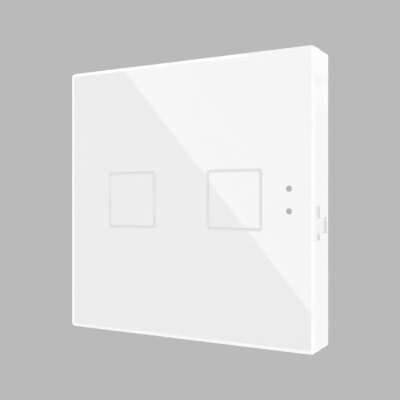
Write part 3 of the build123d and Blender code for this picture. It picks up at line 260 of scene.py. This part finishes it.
# moulded frame behind the glass: glossy, with painted shade, a little darker, on the floor of the
# pry notch and painted light, paler, on the notch's steep walls
frameLook = dict(colour=(0.866, 0.866, 0.863), spread=0.004, patch=60, rough=0.13,
                 roughSpread=0.015, grain=2400, depth=0.0000008,
                 paintedShadeNotchColour=(0.822, 0.822, 0.819),
                 paintedShadeNotchBox={"X": (42.2, 42.75), "Y": (-7.6, 1.0), "Z": (-9.7, -4.7)},
                 paintedLightWallColour=(0.98, 0.98, 0.98),
                 paintedLightWallBox={"X": (42.47, 42.88), "Y": (-7.6, -1.2), "Z": (-11.4, -1.7)})
parts = startFinish("panel_white", frameLook)
# painted shade: the notch's floor is coloured darker, as the recess would shade it
tintInside(parts, frameLook["paintedShadeNotchBox"], frameLook["paintedShadeNotchColour"])
# painted light: the notch's steep walls are coloured paler to lift the shade they lie in
tintInside(parts, frameLook["paintedLightWallBox"], frameLook["paintedLightWallColour"])
finishes["panel_white"] = endFinish(parts)

# foam tape: closed cells give pits, from the distance to the nearest cell point
foamLook = dict(colour=(0.035, 0.035, 0.038), spread=0.15, patch=700, rough=0.85,
                roughSpread=0.06, grain=4000, depth=0.00004, cells=5200)
parts = startFinish("foam_tape", foamLook)
cells = addNode(parts["tree"], "TexVoronoi",
                {"Vector": parts["where"], "Scale": foamLook["cells"]})
parts["relief"] = cells.outputs["Distance"]
finishes["foam_tape"] = endFinish(parts)

# zinc plate: spangles a few millimetres wide with bent edges, each a little lighter or duller
# than the next; spangleSpan is the range of their greys that the dullest and lightest lie in
zincLook = dict(colour=(0.66, 0.67, 0.68), spread=0.05, patch=160, rough=0.34, metal=1.0,
                roughSpread=0.07, grain=2600, depth=0.000006, spangle=260, bend=0.012,
                bendScale=500, spangleSpan=(0.1, 0.9), dull=0.86, light=1.12,
                spangleShare=0.55, spangleRough=0.07)
parts = startFinish("zinc_steel", zincLook)
tree = parts["tree"]
bending = addNode(tree, "TexNoise", {"Vector": parts["where"], "Scale": zincLook["bendScale"]})
bent = mixOf(tree, zincLook["bend"], parts["where"], bending.outputs["Color"])
spangle = addNode(tree, "TexVoronoi", {"Vector": bent, "Scale": zincLook["spangle"]})
grey = addNode(tree, "RGBToBW", {0: spangle.outputs["Color"]}).outputs[0]
ends = [shade(zincLook["colour"], zincLook["dull"]), shade(zincLook["colour"], zincLook["light"])]
spangleTone = rampOf(tree, grey, list(zip(zincLook["spangleSpan"], ends)))
parts["tone"] = mixOf(tree, zincLook["spangleShare"], parts["tone"], spangleTone)
unevenness = spanOf(tree, grey, -zincLook["spangleRough"], zincLook["spangleRough"],
                    zincLook["spangleSpan"])
parts["rough"] = mathOf(tree, "ADD", parts["rough"], unevenness)
finishes["zinc_steel"] = endFinish(parts)

# circuit board: green mask, lighter where a hatched copper ground lies under it, over glass
# cloth; hatch and weave are scales of waves
boardLook = dict(colour=(0.012, 0.125, 0.050), spread=0.10, patch=140, rough=0.30,
                 roughSpread=0.06, grain=2600, depth=0.000006, hatch=450, hatchSpan=(0.74, 0.80),
                 hatchShare=0.55, hatchColour=(0.022, 0.185, 0.075), weave=750, weaveShare=0.35)
parts = startFinish("circuit_board", boardLook)
tree, where = parts["tree"], parts["where"]
turned = addNode(tree, "Mapping", {"Vector": where, "Rotation": (0, radians(45), 0)})
hatch = mathOf(tree, "MAXIMUM", *crossedWaves(tree, turned.outputs["Vector"], boardLook["hatch"]))
under = spanOf(tree, hatch, 0.0, boardLook["hatchShare"], boardLook["hatchSpan"])
parts["tone"] = mixOf(tree, under, parts["tone"], (*boardLook["hatchColour"], 1.0))
cloth = mathOf(tree, "ADD", *crossedWaves(tree, where, boardLook["weave"]))
woven = mathOf(tree, "MULTIPLY", cloth, boardLook["weaveShare"])
parts["relief"] = mathOf(tree, "ADD", mathOf(tree, "ADD", woven, hatch), parts["relief"])
finishes["circuit_board"] = endFinish(parts)

# magnet wire: lacquered copper
wireLook = dict(colour=(0.60, 0.20, 0.065), spread=0.14, patch=900, rough=0.24, metal=0.85,
                roughSpread=0.06, grain=3000, depth=0.000004)
finishes["winding_copper"] = endFinish(startFinish("winding_copper", wireLook))

# shrunk sleeve: long soft wrinkles run round the can
sleeveLook = dict(colour=(0.016, 0.028, 0.095), spread=0.10, patch=300, rough=0.20,
                  roughSpread=0.05, grain=420, depth=0.00002, stretch=(0.5, 2.4, 0.5))
finishes["capacitor_sleeve"] = endFinish(startFinish("capacitor_sleeve", sleeveLook))

for nodeName, nodeObject in nodes.items():
    nodeObject.data.materials.clear()
    nodeObject.data.materials.append(finishes[slotOfNode[nodeName]])
print("finishes on", len(nodes), "nodes")


# quads between neighbours of a grid of rows and columns; a closed way joins its last line to its
# first
def gridFaces(rows, columns, closeRows=False, closeColumns=False):
    row = np.arange(rows if closeRows else rows - 1)
    column = np.arange(columns if closeColumns else columns - 1)
    first, second = np.meshgrid(row, column, indexing="ij")
    nextRow, nextColumn = (first + 1) % rows, (second + 1) % columns
    faces = np.stack([first * columns + second, first * columns + nextColumn,
                      nextRow * columns + nextColumn, nextRow * columns + second], axis=-1)
    return faces.reshape(-1, 4)


# a run of closed rings becomes a shell: quads between rings and a fan to a pole at each end
def shellOf(rings, startPole, endPole):
    rows, columns = rings.shape[:2]
    points = np.concatenate([rings.reshape(-1, 3), [startPole], [endPole]])
    turn = np.arange(columns)
    nextTurn, last = (turn + 1) % columns, (rows - 1) * columns
    pole = np.full(columns, rows * columns)
    startFan = np.stack([nextTurn, turn, pole], axis=-1)
    endFan = np.stack([last + turn, last + nextTurn, pole + 1], axis=-1)
    return points, gridFaces(rows, columns, closeColumns=True), np.concatenate([startFan, endFan])


# a ring of rings, closed both ways, as a bent tube is
def loopOf(rings):
    rows, columns = rings.shape[:2]
    noFans = np.zeros((0, 3), dtype=int)
    quads = gridFaces(rows, columns, closeRows=True, closeColumns=True)
    return rings.reshape(-1, 3), quads, noFans


# a shell faces outwards where the volume summed over its corners is positive; if not, it is turned
def outward(points, quads, fans):
    split = np.concatenate([quads[:, [0, 1, 2]], quads[:, [0, 2, 3]], fans])
    corner = points[split] - points.mean(axis=0)
    volume = np.einsum("ij,ij->i", corner[:, 0], np.cross(corner[:, 1], corner[:, 2])).sum()
    return (quads, fans) if volume > 0 else (quads[:, ::-1], fans[:, ::-1])


# shells are joined into one mesh; edges sharper than crease degrees stay sharp
def shellPiece(name, shells, slotName, body, crease=35, replaces=()):
    points, faces, start = [], [], 0
    for shell in shells:
        quads, fans = outward(*shell)
        points.append(shell[0])
        faces += (quads + start).tolist() + (fans + start).tolist()
        start += len(shell[0])
    mesh = bpy.data.meshes.new(name)
    mesh.from_pydata(np.concatenate(points).tolist(), [], faces)
    mesh.materials.append(finishes[slotName])
    mesh.polygons.foreach_set("use_smooth", np.ones(len(mesh.polygons), dtype=bool))
    mesh.set_sharp_from_angle(angle=radians(crease))
    mesh.update()
    made = addObject(name, mesh)
    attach(made, body)
    if replaces:
        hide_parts(*replaces)


# rounded box: each corner's arc is a quarter turn in even steps, about a centre that lies one
# corner radius in from both sides
def roundedBox(halfX, halfZ, corner, steps):
    quarter = np.arange(4)[:, None]
    turn = (quarter + np.linspace(0, 1, steps + 1)[None, :]) * pi / 2
    middle = (quarter + 0.5) * pi / 2
    loop = np.stack([np.sign(np.cos(middle)) * (halfX - corner) + corner * np.cos(turn),
                     np.sign(np.sin(middle)) * (halfZ - corner) + corner * np.sin(turn)], axis=-1)
    return loop.reshape(-1, 2)


# enamelled line round a touch field: gap is what it leaves free of the groove on every side
enamel = dict(width=0.9, corner=0.9, innerCorner=0.45, dip=0.10, across=12, steps=8, gap=0.004,
              crease=50)


# u runs across the groove and v round the field; the fired enamel is flush at both walls and dips
# by a squared sine of u between them
def enamelLine(side):
    low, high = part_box("touch_outline_" + side)
    gap = enamel["gap"] * mm
    outerHalf = (high.x - low.x) / 2 - gap
    innerHalf = outerHalf + 2 * gap - enamel["width"] * mm
    outer = roundedBox(outerHalf, outerHalf, enamel["corner"] * mm, enamel["steps"])
    inner = roundedBox(innerHalf, innerHalf, enamel["innerCorner"] * mm, enamel["steps"])
    top = np.linspace(0, 1, enamel["across"] + 1)
    across = np.concatenate([top, [1, 0]])
    depth = np.concatenate([low.y + gap + enamel["dip"] * mm * np.sin(pi * top) ** 2,
                            [high.y - gap] * 2])
    flat = outer[None] * (1 - across[:, None, None]) + inner[None] * across[:, None, None]
    rings = np.stack([flat[..., 0] + (low.x + high.x) / 2,
                      np.broadcast_to(depth[:, None], flat.shape[:2]),
                      flat[..., 1] + (low.z + high.z) / 2], axis=-1)
    return loopOf(rings)


for side in ("left", "right"):
    shellPiece("enamel_line_" + side, [enamelLine(side)], "grey_enamel", "panel",
               crease=enamel["crease"], replaces=["touch_outline_" + side])
print("enamel lines laid")

# screws: head, recess arms, thread and tip; every head looks into the wall. Head, core and crest
# are radii, and slope is the share of its depth that a recess loses from its middle to its ends
terminalScrew = dict(head=2.28, height=1.6, dome=0.22, rim=0.16, arms=1, armWidth=0.72,
                     armLength=9.0, recess=0.80, slope=0.0, core=1.20, crest=1.49, pitch=0.5,
                     tip=0.6, tipShare=0.72)
housingScrew = dict(head=2.28, height=1.6, dome=0.50, rim=0.10, arms=2, armWidth=0.55,
                    armLength=2.7, recess=1.05, slope=0.45, core=0.80, crest=1.19, pitch=0.95,
                    tip=2.2, tipShare=0.25)
boardScrew = dict(head=1.68, height=0.9, dome=0.30, rim=0.08, arms=2, armWidth=0.40,
                  armLength=1.9, recess=0.62, slope=0.45, core=0.56, crest=0.84, pitch=0.70,
                  tip=0.9, tipShare=0.30)
# what all screws share: soft is the width of a recess's edge, sunk is how far the thread starts
# inside the head, and within is how far the head stays inside the solid one's
screwGrid = dict(around=144, radial=30, side=4, soft=0.07, threadAround=48, perPitch=8,
                 sunk=0.3, within=0.02, ridgeTop=1.5, ridgeSlope=3.6)


# how far a point lies inside the recess: the product of two soft edges, across and along an arm
def armShare(x, z, look):
    soft = screwGrid["soft"]
    inWidth = np.clip((look["armWidth"] / 2 - np.abs(z)) / soft + 0.5, 0, 1)
    inLength = np.clip((look["armLength"] / 2 - np.abs(x)) / soft + 0.5, 0, 1)
    return inWidth * inLength


# screw head: at share s of its radius the top stands at the height less the dome's s squared,
# rounded off near the rim by a quarter circle, less the recess; the side runs straight down to
# the seat, which closes inwards
def screwHead(look, centre, seat):
    share = np.linspace(0, 1, screwGrid["radial"] + 1)[1:]
    turn = np.linspace(0, 2 * pi, screwGrid["around"], endpoint=False)
    radius = share * look["head"]
    past = np.clip((radius - look["head"] + look["rim"]) / look["rim"], 0, 1)
    rounding = look["rim"] * (1 - np.sqrt(1 - past ** 2))
    top = look["height"] - look["dome"] * share ** 2 - rounding
    x, z = radius[:, None] * np.cos(turn), radius[:, None] * np.sin(turn)
    cut = armShare(x, z, look)
    if look["arms"] == 2:
        cut = np.maximum(cut, armShare(z, x, look))
    cut = cut * (1 - look["slope"] * radius[:, None] / look["armLength"] * 2)
    rise = top[:, None] - look["recess"] * cut
    down = np.linspace(1, 0, screwGrid["side"] + 1)[1:, None] * rise[-1][None, :]
    under = np.zeros((2, len(turn)))
    rises = np.concatenate([rise, down, under])
    reach = np.concatenate([radius, [look["head"]] * screwGrid["side"],
                            [look["core"], look["core"] / 4]])
    rings = np.stack([centre[0] * mm + reach[:, None] * np.cos(turn) * mm, seat + rises * mm,
                      centre[1] * mm + reach[:, None] * np.sin(turn) * mm], axis=-1)
    floorMiddle = seat + (look["height"] - look["recess"]) * mm
    return shellOf(rings, [centre[0] * mm, floorMiddle, centre[1] * mm],
                   [centre[0] * mm, seat, centre[1] * mm])


# screw thread: at depth d and turn a the radius is the core plus a ridge, flat on top, that rises
# and falls once a pitch and steps on one pitch a turn; both shrink to tipShare along the tip
def screwThread(look, centre, seat, end):
    start = seat + screwGrid["sunk"] * mm
    length = (seat - end) / mm + screwGrid["sunk"]
    steps = int(length / look["pitch"] * screwGrid["perPitch"])
    depth = np.linspace(0, length, steps + 1)[:, None]
    turn = np.linspace(0, 2 * pi, screwGrid["threadAround"], endpoint=False)[None, :]
    phase = (depth / look["pitch"] - turn / (2 * pi)) % 1.0
    ridge = np.clip(screwGrid["ridgeTop"] - screwGrid["ridgeSlope"] * np.abs(phase - 0.5), 0, 1)
    alongTip = np.clip((length - depth) / look["tip"], 0, 1)
    taper = look["tipShare"] + (1 - look["tipShare"]) * alongTip
    radius = (look["core"] + (look["crest"] - look["core"]) * ridge) * taper
    rings = np.stack([centre[0] * mm + radius * np.cos(turn) * mm,
                      np.broadcast_to(start - depth * mm, radius.shape),
                      centre[1] * mm + radius * np.sin(turn) * mm], axis=-1)
    return shellOf(rings, [centre[0] * mm, start, centre[1] * mm],
                   [centre[0] * mm, end, centre[1] * mm])


# a head and a thread at each place, between the front and back of the solid screws
def screwsAt(node, look, places):
    low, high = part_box(node)
    seat = high.y - look["height"] * mm
    shells = []
    for place in places:
        shells += [screwHead(look, place, seat), screwThread(look, place, seat, low.y)]
    return shells


# the four corners of a rectangle of screw centres, from the node's own box less the head radius
def cornerPlaces(node, look):
    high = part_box(node)[1]
    headRadius = look["head"] + screwGrid["within"]
    x, z = high.x / mm - headRadius, high.z / mm - headRadius
    return [(x, z), (-x, z), (-x, -z), (x, -z)]


for number in (1, 2, 3, 4):
    node = "terminal_screw_" + str(number)
    low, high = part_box(node)
    middle = ((low.x + high.x) / 2 / mm, (low.z + high.z) / 2 / mm)
    shellPiece("cut_terminal_screw_" + str(number), screwsAt(node, terminalScrew, [middle]),
               "screw_steel", "screw_" + str(number), replaces=[node])
housingPlaces = cornerPlaces("housing_screws", housingScrew)
shellPiece("cut_housing_screws", screwsAt("housing_screws", housingScrew, housingPlaces),
           "screw_steel", "base", replaces=["housing_screws"])
boardPlaces = cornerPlaces("board_screws", boardScrew)
shellPiece("cut_board_screws", screwsAt("board_screws", boardScrew, boardPlaces),
           "screw_steel", "panel", replaces=["board_screws"])
print("screws cut")

# header pins: half the width of a pin, the nip off its corners and half the width of its point
pinLook = dict(half=0.318, nip=0.10, point=0.14, taper=0.55, ways=6, pitch=2.54, crease=20)


# a square with nipped corners is carried along Y and drawn in to a blunt point at each end
def pinShell(x, z, front, back):
    half, nip = pinLook["half"], pinLook["half"] - pinLook["nip"]
    outline = np.array([(half, nip), (nip, half), (-nip, half), (-half, nip),
                        (-half, -nip), (-nip, -half), (nip, -half), (half, -nip)]) * mm
    taper = pinLook["taper"] * mm
    depth = np.array([front, front + taper, back - taper, back])
    size = np.array([pinLook["point"] / half, 1, 1, pinLook["point"] / half])
    rings = np.stack([x * mm + size[:, None] * outline[None, :, 0],
                      np.broadcast_to(depth[:, None], (len(depth), len(outline))),
                      z * mm + size[:, None] * outline[None, :, 1]], axis=-1)
    return shellOf(rings, [x * mm, front, z * mm], [x * mm, back, z * mm])


low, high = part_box("header_pins")
pinPlaces = [(way - (pinLook["ways"] - 1) / 2) * pinLook["pitch"]
             for way in range(pinLook["ways"])]
headerZ = (low.z + high.z) / 2 / mm
shellPiece("pointed_header_pins", [pinShell(x, headerZ, low.y, high.y) for x in pinPlaces],
           "gold_pin", "panel", crease=pinLook["crease"], replaces=["header_pins"])
print("pins pointed")

# relay windings: inner and outer radius, and the width of one turn of wire
coilLook = dict(inner=1.68, outer=2.64, turn=0.16, swell=0.05, perTurn=6, around=56, gap=0.01,
                crease=80)


# along the bobbin the skin swells by a half sine for each turn of wire; the inner skin is plain,
# and both are carried round the bobbin's axis
def relayCoil(side):
    low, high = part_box("relay_" + side + "_winding")
    start, end = low.x / mm + coilLook["gap"], high.x / mm - coilLook["gap"]
    turns = int((end - start) / coilLook["turn"])
    along = np.linspace(start, end, turns * coilLook["perTurn"] + 1)
    swell = coilLook["swell"] * (np.abs(np.sin(pi * (along - start) / coilLook["turn"])) - 1)
    radius = np.concatenate([coilLook["outer"] + swell, [coilLook["inner"]] * 2])
    place = np.concatenate([along, [end, start]])
    turn = np.linspace(0, 2 * pi, coilLook["around"], endpoint=False)
    middleY, middleZ = (low.y + high.y) / 2, (low.z + high.z) / 2
    rings = np.stack([np.broadcast_to(place[:, None] * mm, (len(place), len(turn))),
                      middleY + radius[:, None] * np.cos(turn) * mm,
                      middleZ + radius[:, None] * np.sin(turn) * mm], axis=-1)
    return loopOf(rings)


for side in ("left", "right"):
    shellPiece("wound_coil_" + side, [relayCoil(side)], "winding_copper", "base",
               crease=coilLook["crease"], replaces=["relay_" + side + "_winding"])

# transformer winding: limbX and limbZ are half the limb's width and height
woundLook = dict(corner=2.35, turn=0.34, swell=0.09, perTurn=6, steps=10, limbX=1.62, limbZ=2.42,
                 limbCorner=0.05, gap=0.01, crease=80)


# the same swell, carried along Y on a loop that is rounded about the limb
def transformerCoil():
    low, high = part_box("transformer_winding")
    halfX, halfZ = (high.x - low.x) / 2 / mm, (high.z - low.z) / 2 / mm
    gap = woundLook["gap"]
    start, end = low.y / mm + gap, high.y / mm - gap
    turns = int((end - start) / woundLook["turn"])
    along = np.linspace(start, end, turns * woundLook["perTurn"] + 1)
    phase = pi * turns * (along - start) / (end - start)
    swell = woundLook["swell"] * (np.abs(np.sin(phase)) - 1)
    outer = roundedBox(halfX - gap, halfZ - gap, woundLook["corner"], woundLook["steps"])
    inner = roundedBox(woundLook["limbX"], woundLook["limbZ"], woundLook["limbCorner"],
                       woundLook["steps"])
    skins = outer[None] * (1 + swell[:, None, None] / np.array([halfX, halfZ]))
    loops = np.concatenate([skins, [inner, inner]])
    place = np.concatenate([along, [end, start]])
    rings = np.stack([loops[..., 0] * mm + (low.x + high.x) / 2,
                      np.broadcast_to(place[:, None] * mm, loops.shape[:2]),
                      loops[..., 1] * mm + (low.z + high.z) / 2], axis=-1)
    return loopOf(rings)


shellPiece("wound_transformer", [transformerCoil()], "winding_copper", "base",
           crease=woundLook["crease"], replaces=["transformer_winding"])
print("coils wound")

# tracks on the back of the touch board: each is a run of corners and a width; all start sunk
# under the board's face, and test pads stand in a row from padStart
trackLook = dict(height=0.035, edge=0.03, sunk=0.02, viaRadius=0.36, padRadius=0.8, padHeight=0.05,
                 pads=5, padStart=(-14.0, -19.5), padStep=3.0, padRings=6, padAround=28)
tracks = [
    ([(-6.35, -11.2), (-6.35, -9.0), (-10.0, -5.35), (-10.0, 4.0)], 0.30),
    ([(-3.81, -11.2), (-3.81, 2.2), (-2.6, 3.4)], 0.30),
    ([(-1.27, -11.2), (-1.27, 3.4)], 0.30),
    ([(1.27, -11.2), (1.27, 3.4)], 0.30),
    ([(3.81, -11.2), (3.81, 2.2), (2.6, 3.4)], 0.30),
    ([(6.35, -11.2), (6.35, -10.2), (8.5, -8.05), (33.0, -8.05), (36.3, -4.75), (36.3, 2.2)],
     0.35),
    ([(-3.2, 6.5), (-13.4, 6.5), (-18.9, 1.0)], 0.25),
    ([(3.2, 6.5), (12.0, 6.5), (17.5, 1.0)], 0.25),
    ([(-28.5, 26.6), (28.5, 26.6)], 1.3),
    ([(-28.5, -26.6), (28.5, -26.6)], 1.3),
    ([(-36.6, 21.5), (-36.6, 7.0)], 0.8),
    ([(-36.6, -7.0), (-36.6, -21.5)], 0.8),
    ([(8.9, -8.9), (8.9, -18.0), (14.0, -23.1), (14.0, -25.9)], 0.8),
]
viaPlaces = [(-10.0, 4.0), (-2.6, 3.4), (-1.27, 3.4), (1.27, 3.4), (2.6, 3.4), (36.3, 2.2),
             (-3.2, 6.5), (-18.9, 1.0), (3.2, 6.5), (17.5, 1.0), (8.9, -8.9)]
padPlaces = [(trackLook["padStart"][0] + trackLook["padStep"] * place, trackLook["padStart"][1])
             for place in range(trackLook["pads"])]


# track: a low trapezoid carried along its corners, each corner on the mitre of its two runs
def trackShell(corners, width, face):
    path = np.array(corners)
    run = np.diff(path, axis=0)
    run = run / np.linalg.norm(run, axis=1)[:, None]
    before, after = np.vstack([run[:1], run]), np.vstack([run, run[-1:]])
    mitre = before + after
    mitre = mitre / np.linalg.norm(mitre, axis=1)[:, None]
    aside = np.stack([-mitre[:, 1], mitre[:, 0]], axis=-1)
    widen = 1 / np.abs((mitre * after).sum(axis=1))
    topHalf = width / 2 - trackLook["edge"]
    offset = np.array([-width / 2, -topHalf, topHalf, width / 2])
    sunk = trackLook["sunk"]
    height = np.array([-sunk, trackLook["height"], trackLook["height"], -sunk])
    flat = path[:, None] + aside[:, None] * (offset[None, :, None] * widen[:, None, None])
    rings = np.stack([flat[..., 0] * mm, np.broadcast_to(face + height * mm, flat.shape[:2]),
                      flat[..., 1] * mm], axis=-1)
    return shellOf(rings, rings[0].mean(axis=0), rings[-1].mean(axis=0))


# pad: a low round button whose height falls with the fourth power of the radius
def padShell(place, radius, face):
    height, sunk = trackLook["padHeight"], trackLook["sunk"]
    share = np.linspace(0, 1, trackLook["padRings"] + 1)[1:]
    turn = np.linspace(0, 2 * pi, trackLook["padAround"], endpoint=False)
    rise = np.append(height * (1 - share ** 4), -sunk)
    reach = np.append(radius * share, radius)
    rings = np.stack([place[0] * mm + reach[:, None] * np.cos(turn) * mm,
                      np.broadcast_to((face + rise * mm)[:, None], (len(rise), len(turn))),
                      place[1] * mm + reach[:, None] * np.sin(turn) * mm], axis=-1)
    return shellOf(rings, [place[0] * mm, face + height * mm, place[1] * mm],
                   [place[0] * mm, face - sunk * mm, place[1] * mm])


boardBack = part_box("touch_board")[1].y
trackShells = [trackShell(corners, width, boardBack) for corners, width in tracks]
trackShells += [padShell(place, trackLook["viaRadius"], boardBack) for place in viaPlaces]
shellPiece("board_tracks", trackShells, "circuit_board", "panel")
padShells = [padShell(place, trackLook["padRadius"], boardBack) for place in padPlaces]
shellPiece("board_test_pads", padShells, "gold_pin", "panel")
print("tracks and pads laid")


# studio: a plain grey behind everything that the camera or a reflection sees, and a soft light of
# its own level on everything else
studio = dict(behind=0.491, ambient=0.343, centre=(0.0, 0.006, 0.0))
world = bpy.data.worlds.new("studioWorld")
bpy.context.scene.world = world
world.use_nodes = True
tree = world.node_tree
ray = addNode(tree, "LightPath").outputs
seen = mathOf(tree, "MAXIMUM", ray["Is Camera Ray"], ray["Is Glossy Ray"])
seen = mathOf(tree, "MAXIMUM", seen, ray["Is Transmission Ray"])
tone = mixOf(tree, seen, (*[studio["ambient"]] * 3, 1.0), (*[studio["behind"]] * 3, 1.0))
tree.links.new(tone, tree.nodes["Background"].inputs["Color"])
tree.nodes["Background"].inputs["Strength"].default_value = 1.0

# soft lamps: share is the light each adds on a surface facing it, 1 being full white. The camera
# sees lampFront mirrored in the right bevel, and lampHigh in the top one
lamps = {
    "lampFront": dict(place=(0.55, -1.55, -0.30), size=1.5, share=0.206),
    "lampHigh": dict(place=(-0.75, -1.08, 0.70), size=0.55, share=0.088),
    "lampRight": dict(place=(1.40, 0.0, 0.35), size=1.8, share=0.615),
    "lampLeft": dict(place=(-1.42, -0.05, 0.25), size=1.5, share=0.41),
    "lampTop": dict(place=(-0.20, 0.10, 1.30), size=1.2, share=0.07),
    "lampBack": dict(place=(-0.75, 1.20, 0.75), size=1.8, share=0.30),
}


# a square area lamp turned to the switch; its power comes from distance and share
def addLamp(name, look):
    data = bpy.data.lights.new(name, "AREA")
    data.shape, data.size = "SQUARE", look["size"]
    made = addObject(name, data)
    place, aim = Vector(look["place"]), Vector(studio["centre"])
    made.location = place
    made.rotation_euler = (aim - place).to_track_quat("-Z", "Y").to_euler()
    data.energy = look["share"] * pi ** 2 * (aim - place).length ** 2
    made.visible_camera = False


for lampName, look in lamps.items():
    addLamp(lampName, look)

# camera: level with the middle of the plate, turned to the left of the wall's normal
shot = dict(place=(0.10431, -0.19131, 0.0), yaw=30.807, lens=60.18, shift=0.0653,
            clipStart=0.01)
cameraData = bpy.data.cameras.new("shotCamera")
camera = addObject("shotCamera", cameraData)
camera.location = shot["place"]
camera.rotation_euler = (radians(90), 0, radians(shot["yaw"]))
cameraData.lens, cameraData.shift_x = shot["lens"], shot["shift"]
cameraData.clip_start = shot["clipStart"]
bpy.context.scene.camera = camera

# glare card: a lit sheet whose sharp edge is mirrored on the plate from edgeTop to edgeLow, and
# whose light falls away from fullWidth until it is as dim as the studio behind. It lies reach times
# as far from the camera's mirror image as the plate does, and its own sizes are in metres
card = dict(edgeTop=(-21.2, 42.2), edgeLow=(42.4, -31.9), reach=5.0, length=1.80, width=0.285,
            fullWidth=0.245, radiance=2.45)
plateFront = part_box("front_plate")[0].y
mirrored = Vector((shot["place"][0], 2 * plateFront - shot["place"][1], shot["place"][2]))


# a point of the card: out along the line from the camera's mirror image through the plate
def cardPoint(place):
    onGlass = Vector((place[0] * mm, plateFront, place[1] * mm))
    return mirrored + card["reach"] * (onGlass - mirrored)


edgeStart, edgeEnd = cardPoint(card["edgeTop"]), cardPoint(card["edgeLow"])
along = (edgeEnd - edgeStart).normalized()
across = Vector((-along.z, 0, along.x))  # at right angles to the edge, towards the upper right
edgeMiddle = (edgeStart + edgeEnd) / 2
halfEdge = along * card["length"] / 2
cardPoints = np.array([edgeMiddle - halfEdge, edgeMiddle + halfEdge,
                       edgeMiddle + halfEdge + across * card["width"],
                       edgeMiddle - halfEdge + across * card["width"]])
cardFinish = bpy.data.materials.new("glareCard")
cardFinish.use_nodes = True
tree = cardFinish.node_tree
tree.nodes.remove(tree.nodes["Principled BSDF"])
where = addNode(tree, "TexCoord").outputs["Object"]
fromEdge = addNode(tree, "VectorMath", {0: where, 1: tuple(edgeMiddle)}, operation="SUBTRACT")
inwards = addNode(tree, "VectorMath", {0: fromEdge.outputs[0], 1: tuple(across)},
                  operation="DOT_PRODUCT").outputs["Value"]
strength = spanOf(tree, inwards, card["radiance"], studio["behind"],
                  (card["fullWidth"], card["width"]), "SMOOTHSTEP")
glow = addNode(tree, "Emission", {"Strength": strength})
tree.links.new(glow.outputs[0], tree.nodes["Material Output"].inputs["Surface"])
cardMesh = bpy.data.meshes.new("glareCard")
cardMesh.from_pydata(cardPoints.tolist(), [], [(0, 3, 2, 1)])
cardMesh.materials.append(cardFinish)
cardObject = addObject("glareCard", cardMesh)
cardObject.visible_camera = False
cardObject.visible_shadow = False

# dim strips behind, mirrored on the plate's right side: heights are those on the side, and each
# strip starts where the next one ends
strips = {
    "stripTop": dict(low=35.6, high=80.0, radiance=1.28),
    "stripGap": dict(low=32.8, high=35.6, radiance=0.86),
    "stripLine": dict(low=26.5, high=32.8, radiance=1.22),
    "stripLow": dict(low=-80.0, high=26.5, radiance=1.00),
}
stripPlane = dict(behind=1.4, width=1.0)  # in metres
sideRight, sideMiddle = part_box("front_plate")[1].x, plateFront / 2
sideMirror = Vector((2 * sideRight - shot["place"][0], shot["place"][1], shot["place"][2]))
stretch = (stripPlane["behind"] - sideMirror.y) / (sideMiddle - sideMirror.y)
for stripName, look in strips.items():
    data = bpy.data.lights.new(stripName, "AREA")
    tall = (look["high"] - look["low"]) * mm * stretch
    data.shape, data.size, data.size_y = "RECTANGLE", stripPlane["width"], tall
    data.energy = look["radiance"] * pi * data.size * data.size_y
    strip = addObject(stripName, data)
    strip.location = (sideMirror.x + stretch * (sideRight - sideMirror.x), stripPlane["behind"],
                      (look["high"] + look["low"]) / 2 * mm * stretch)
    strip.rotation_euler = (radians(-90), 0, 0)
    strip.visible_camera = False
print("lamps, camera and glare card placed")

# floor: a round pale sheet well below the switch that fades out before the shot reaches it, in
# metres; the disc has a tiny eye
floorLook = dict(height=-0.20, eye=0.0005, reach=0.46, fadeSpan=(0.20, 0.43), rings=24, around=96,
                 colour=(0.80, 0.80, 0.80), rough=0.7, dust=40, dustShade=0.985)


# disc: rings in even steps from eye to reach, points in even steps round each
def discGrid(look):
    ring = np.linspace(look["eye"], look["reach"], look["rings"])
    turn = np.linspace(0, 2 * pi, look["around"], endpoint=False)
    radius, angle = np.meshgrid(ring, turn, indexing="ij")
    return np.stack([radius * np.cos(angle), radius * np.sin(angle),
                     np.full(radius.shape, look["height"])], axis=-1)


floorFinish = bpy.data.materials.new("paleFloor")
floorFinish.use_nodes = True
tree = floorFinish.node_tree
shader = tree.nodes["Principled BSDF"]
where = addNode(tree, "TexCoord").outputs["Object"]
flat = addNode(tree, "VectorMath", {0: where, 1: (1, 1, 0)}, operation="MULTIPLY").outputs[0]
away = addNode(tree, "VectorMath", {0: flat}, operation="LENGTH").outputs["Value"]
fade = spanOf(tree, away, 0.0, 1.0, floorLook["fadeSpan"], "SMOOTHSTEP")
dust = noiseAt(tree, where, floorLook["dust"])
dusty = shade(floorLook["colour"], floorLook["dustShade"])
tone = rampOf(tree, dust, [(noiseSpan[0], dusty), (noiseSpan[1], floorLook["colour"])])
tree.links.new(tone, shader.inputs["Base Color"])
shader.inputs["Roughness"].default_value = floorLook["rough"]
clear = addNode(tree, "BsdfTransparent").outputs[0]
blend = addNode(tree, "MixShader", {0: fade, 1: shader.outputs[0], 2: clear}).outputs[0]
tree.links.new(blend, tree.nodes["Material Output"].inputs["Surface"])
floorMesh = bpy.data.meshes.new("paleFloorDisc")
floorPoints = discGrid(floorLook).reshape(-1, 3)
floorFaces = gridFaces(floorLook["rings"], floorLook["around"], closeColumns=True)[:, ::-1]
floorMesh.from_pydata(floorPoints.tolist(), [], floorFaces.tolist())
floorMesh.materials.append(floorFinish)
floor = addObject("paleFloorDisc", floorMesh)
print("floor laid")

bpy.context.scene.view_settings.view_transform = "Standard"
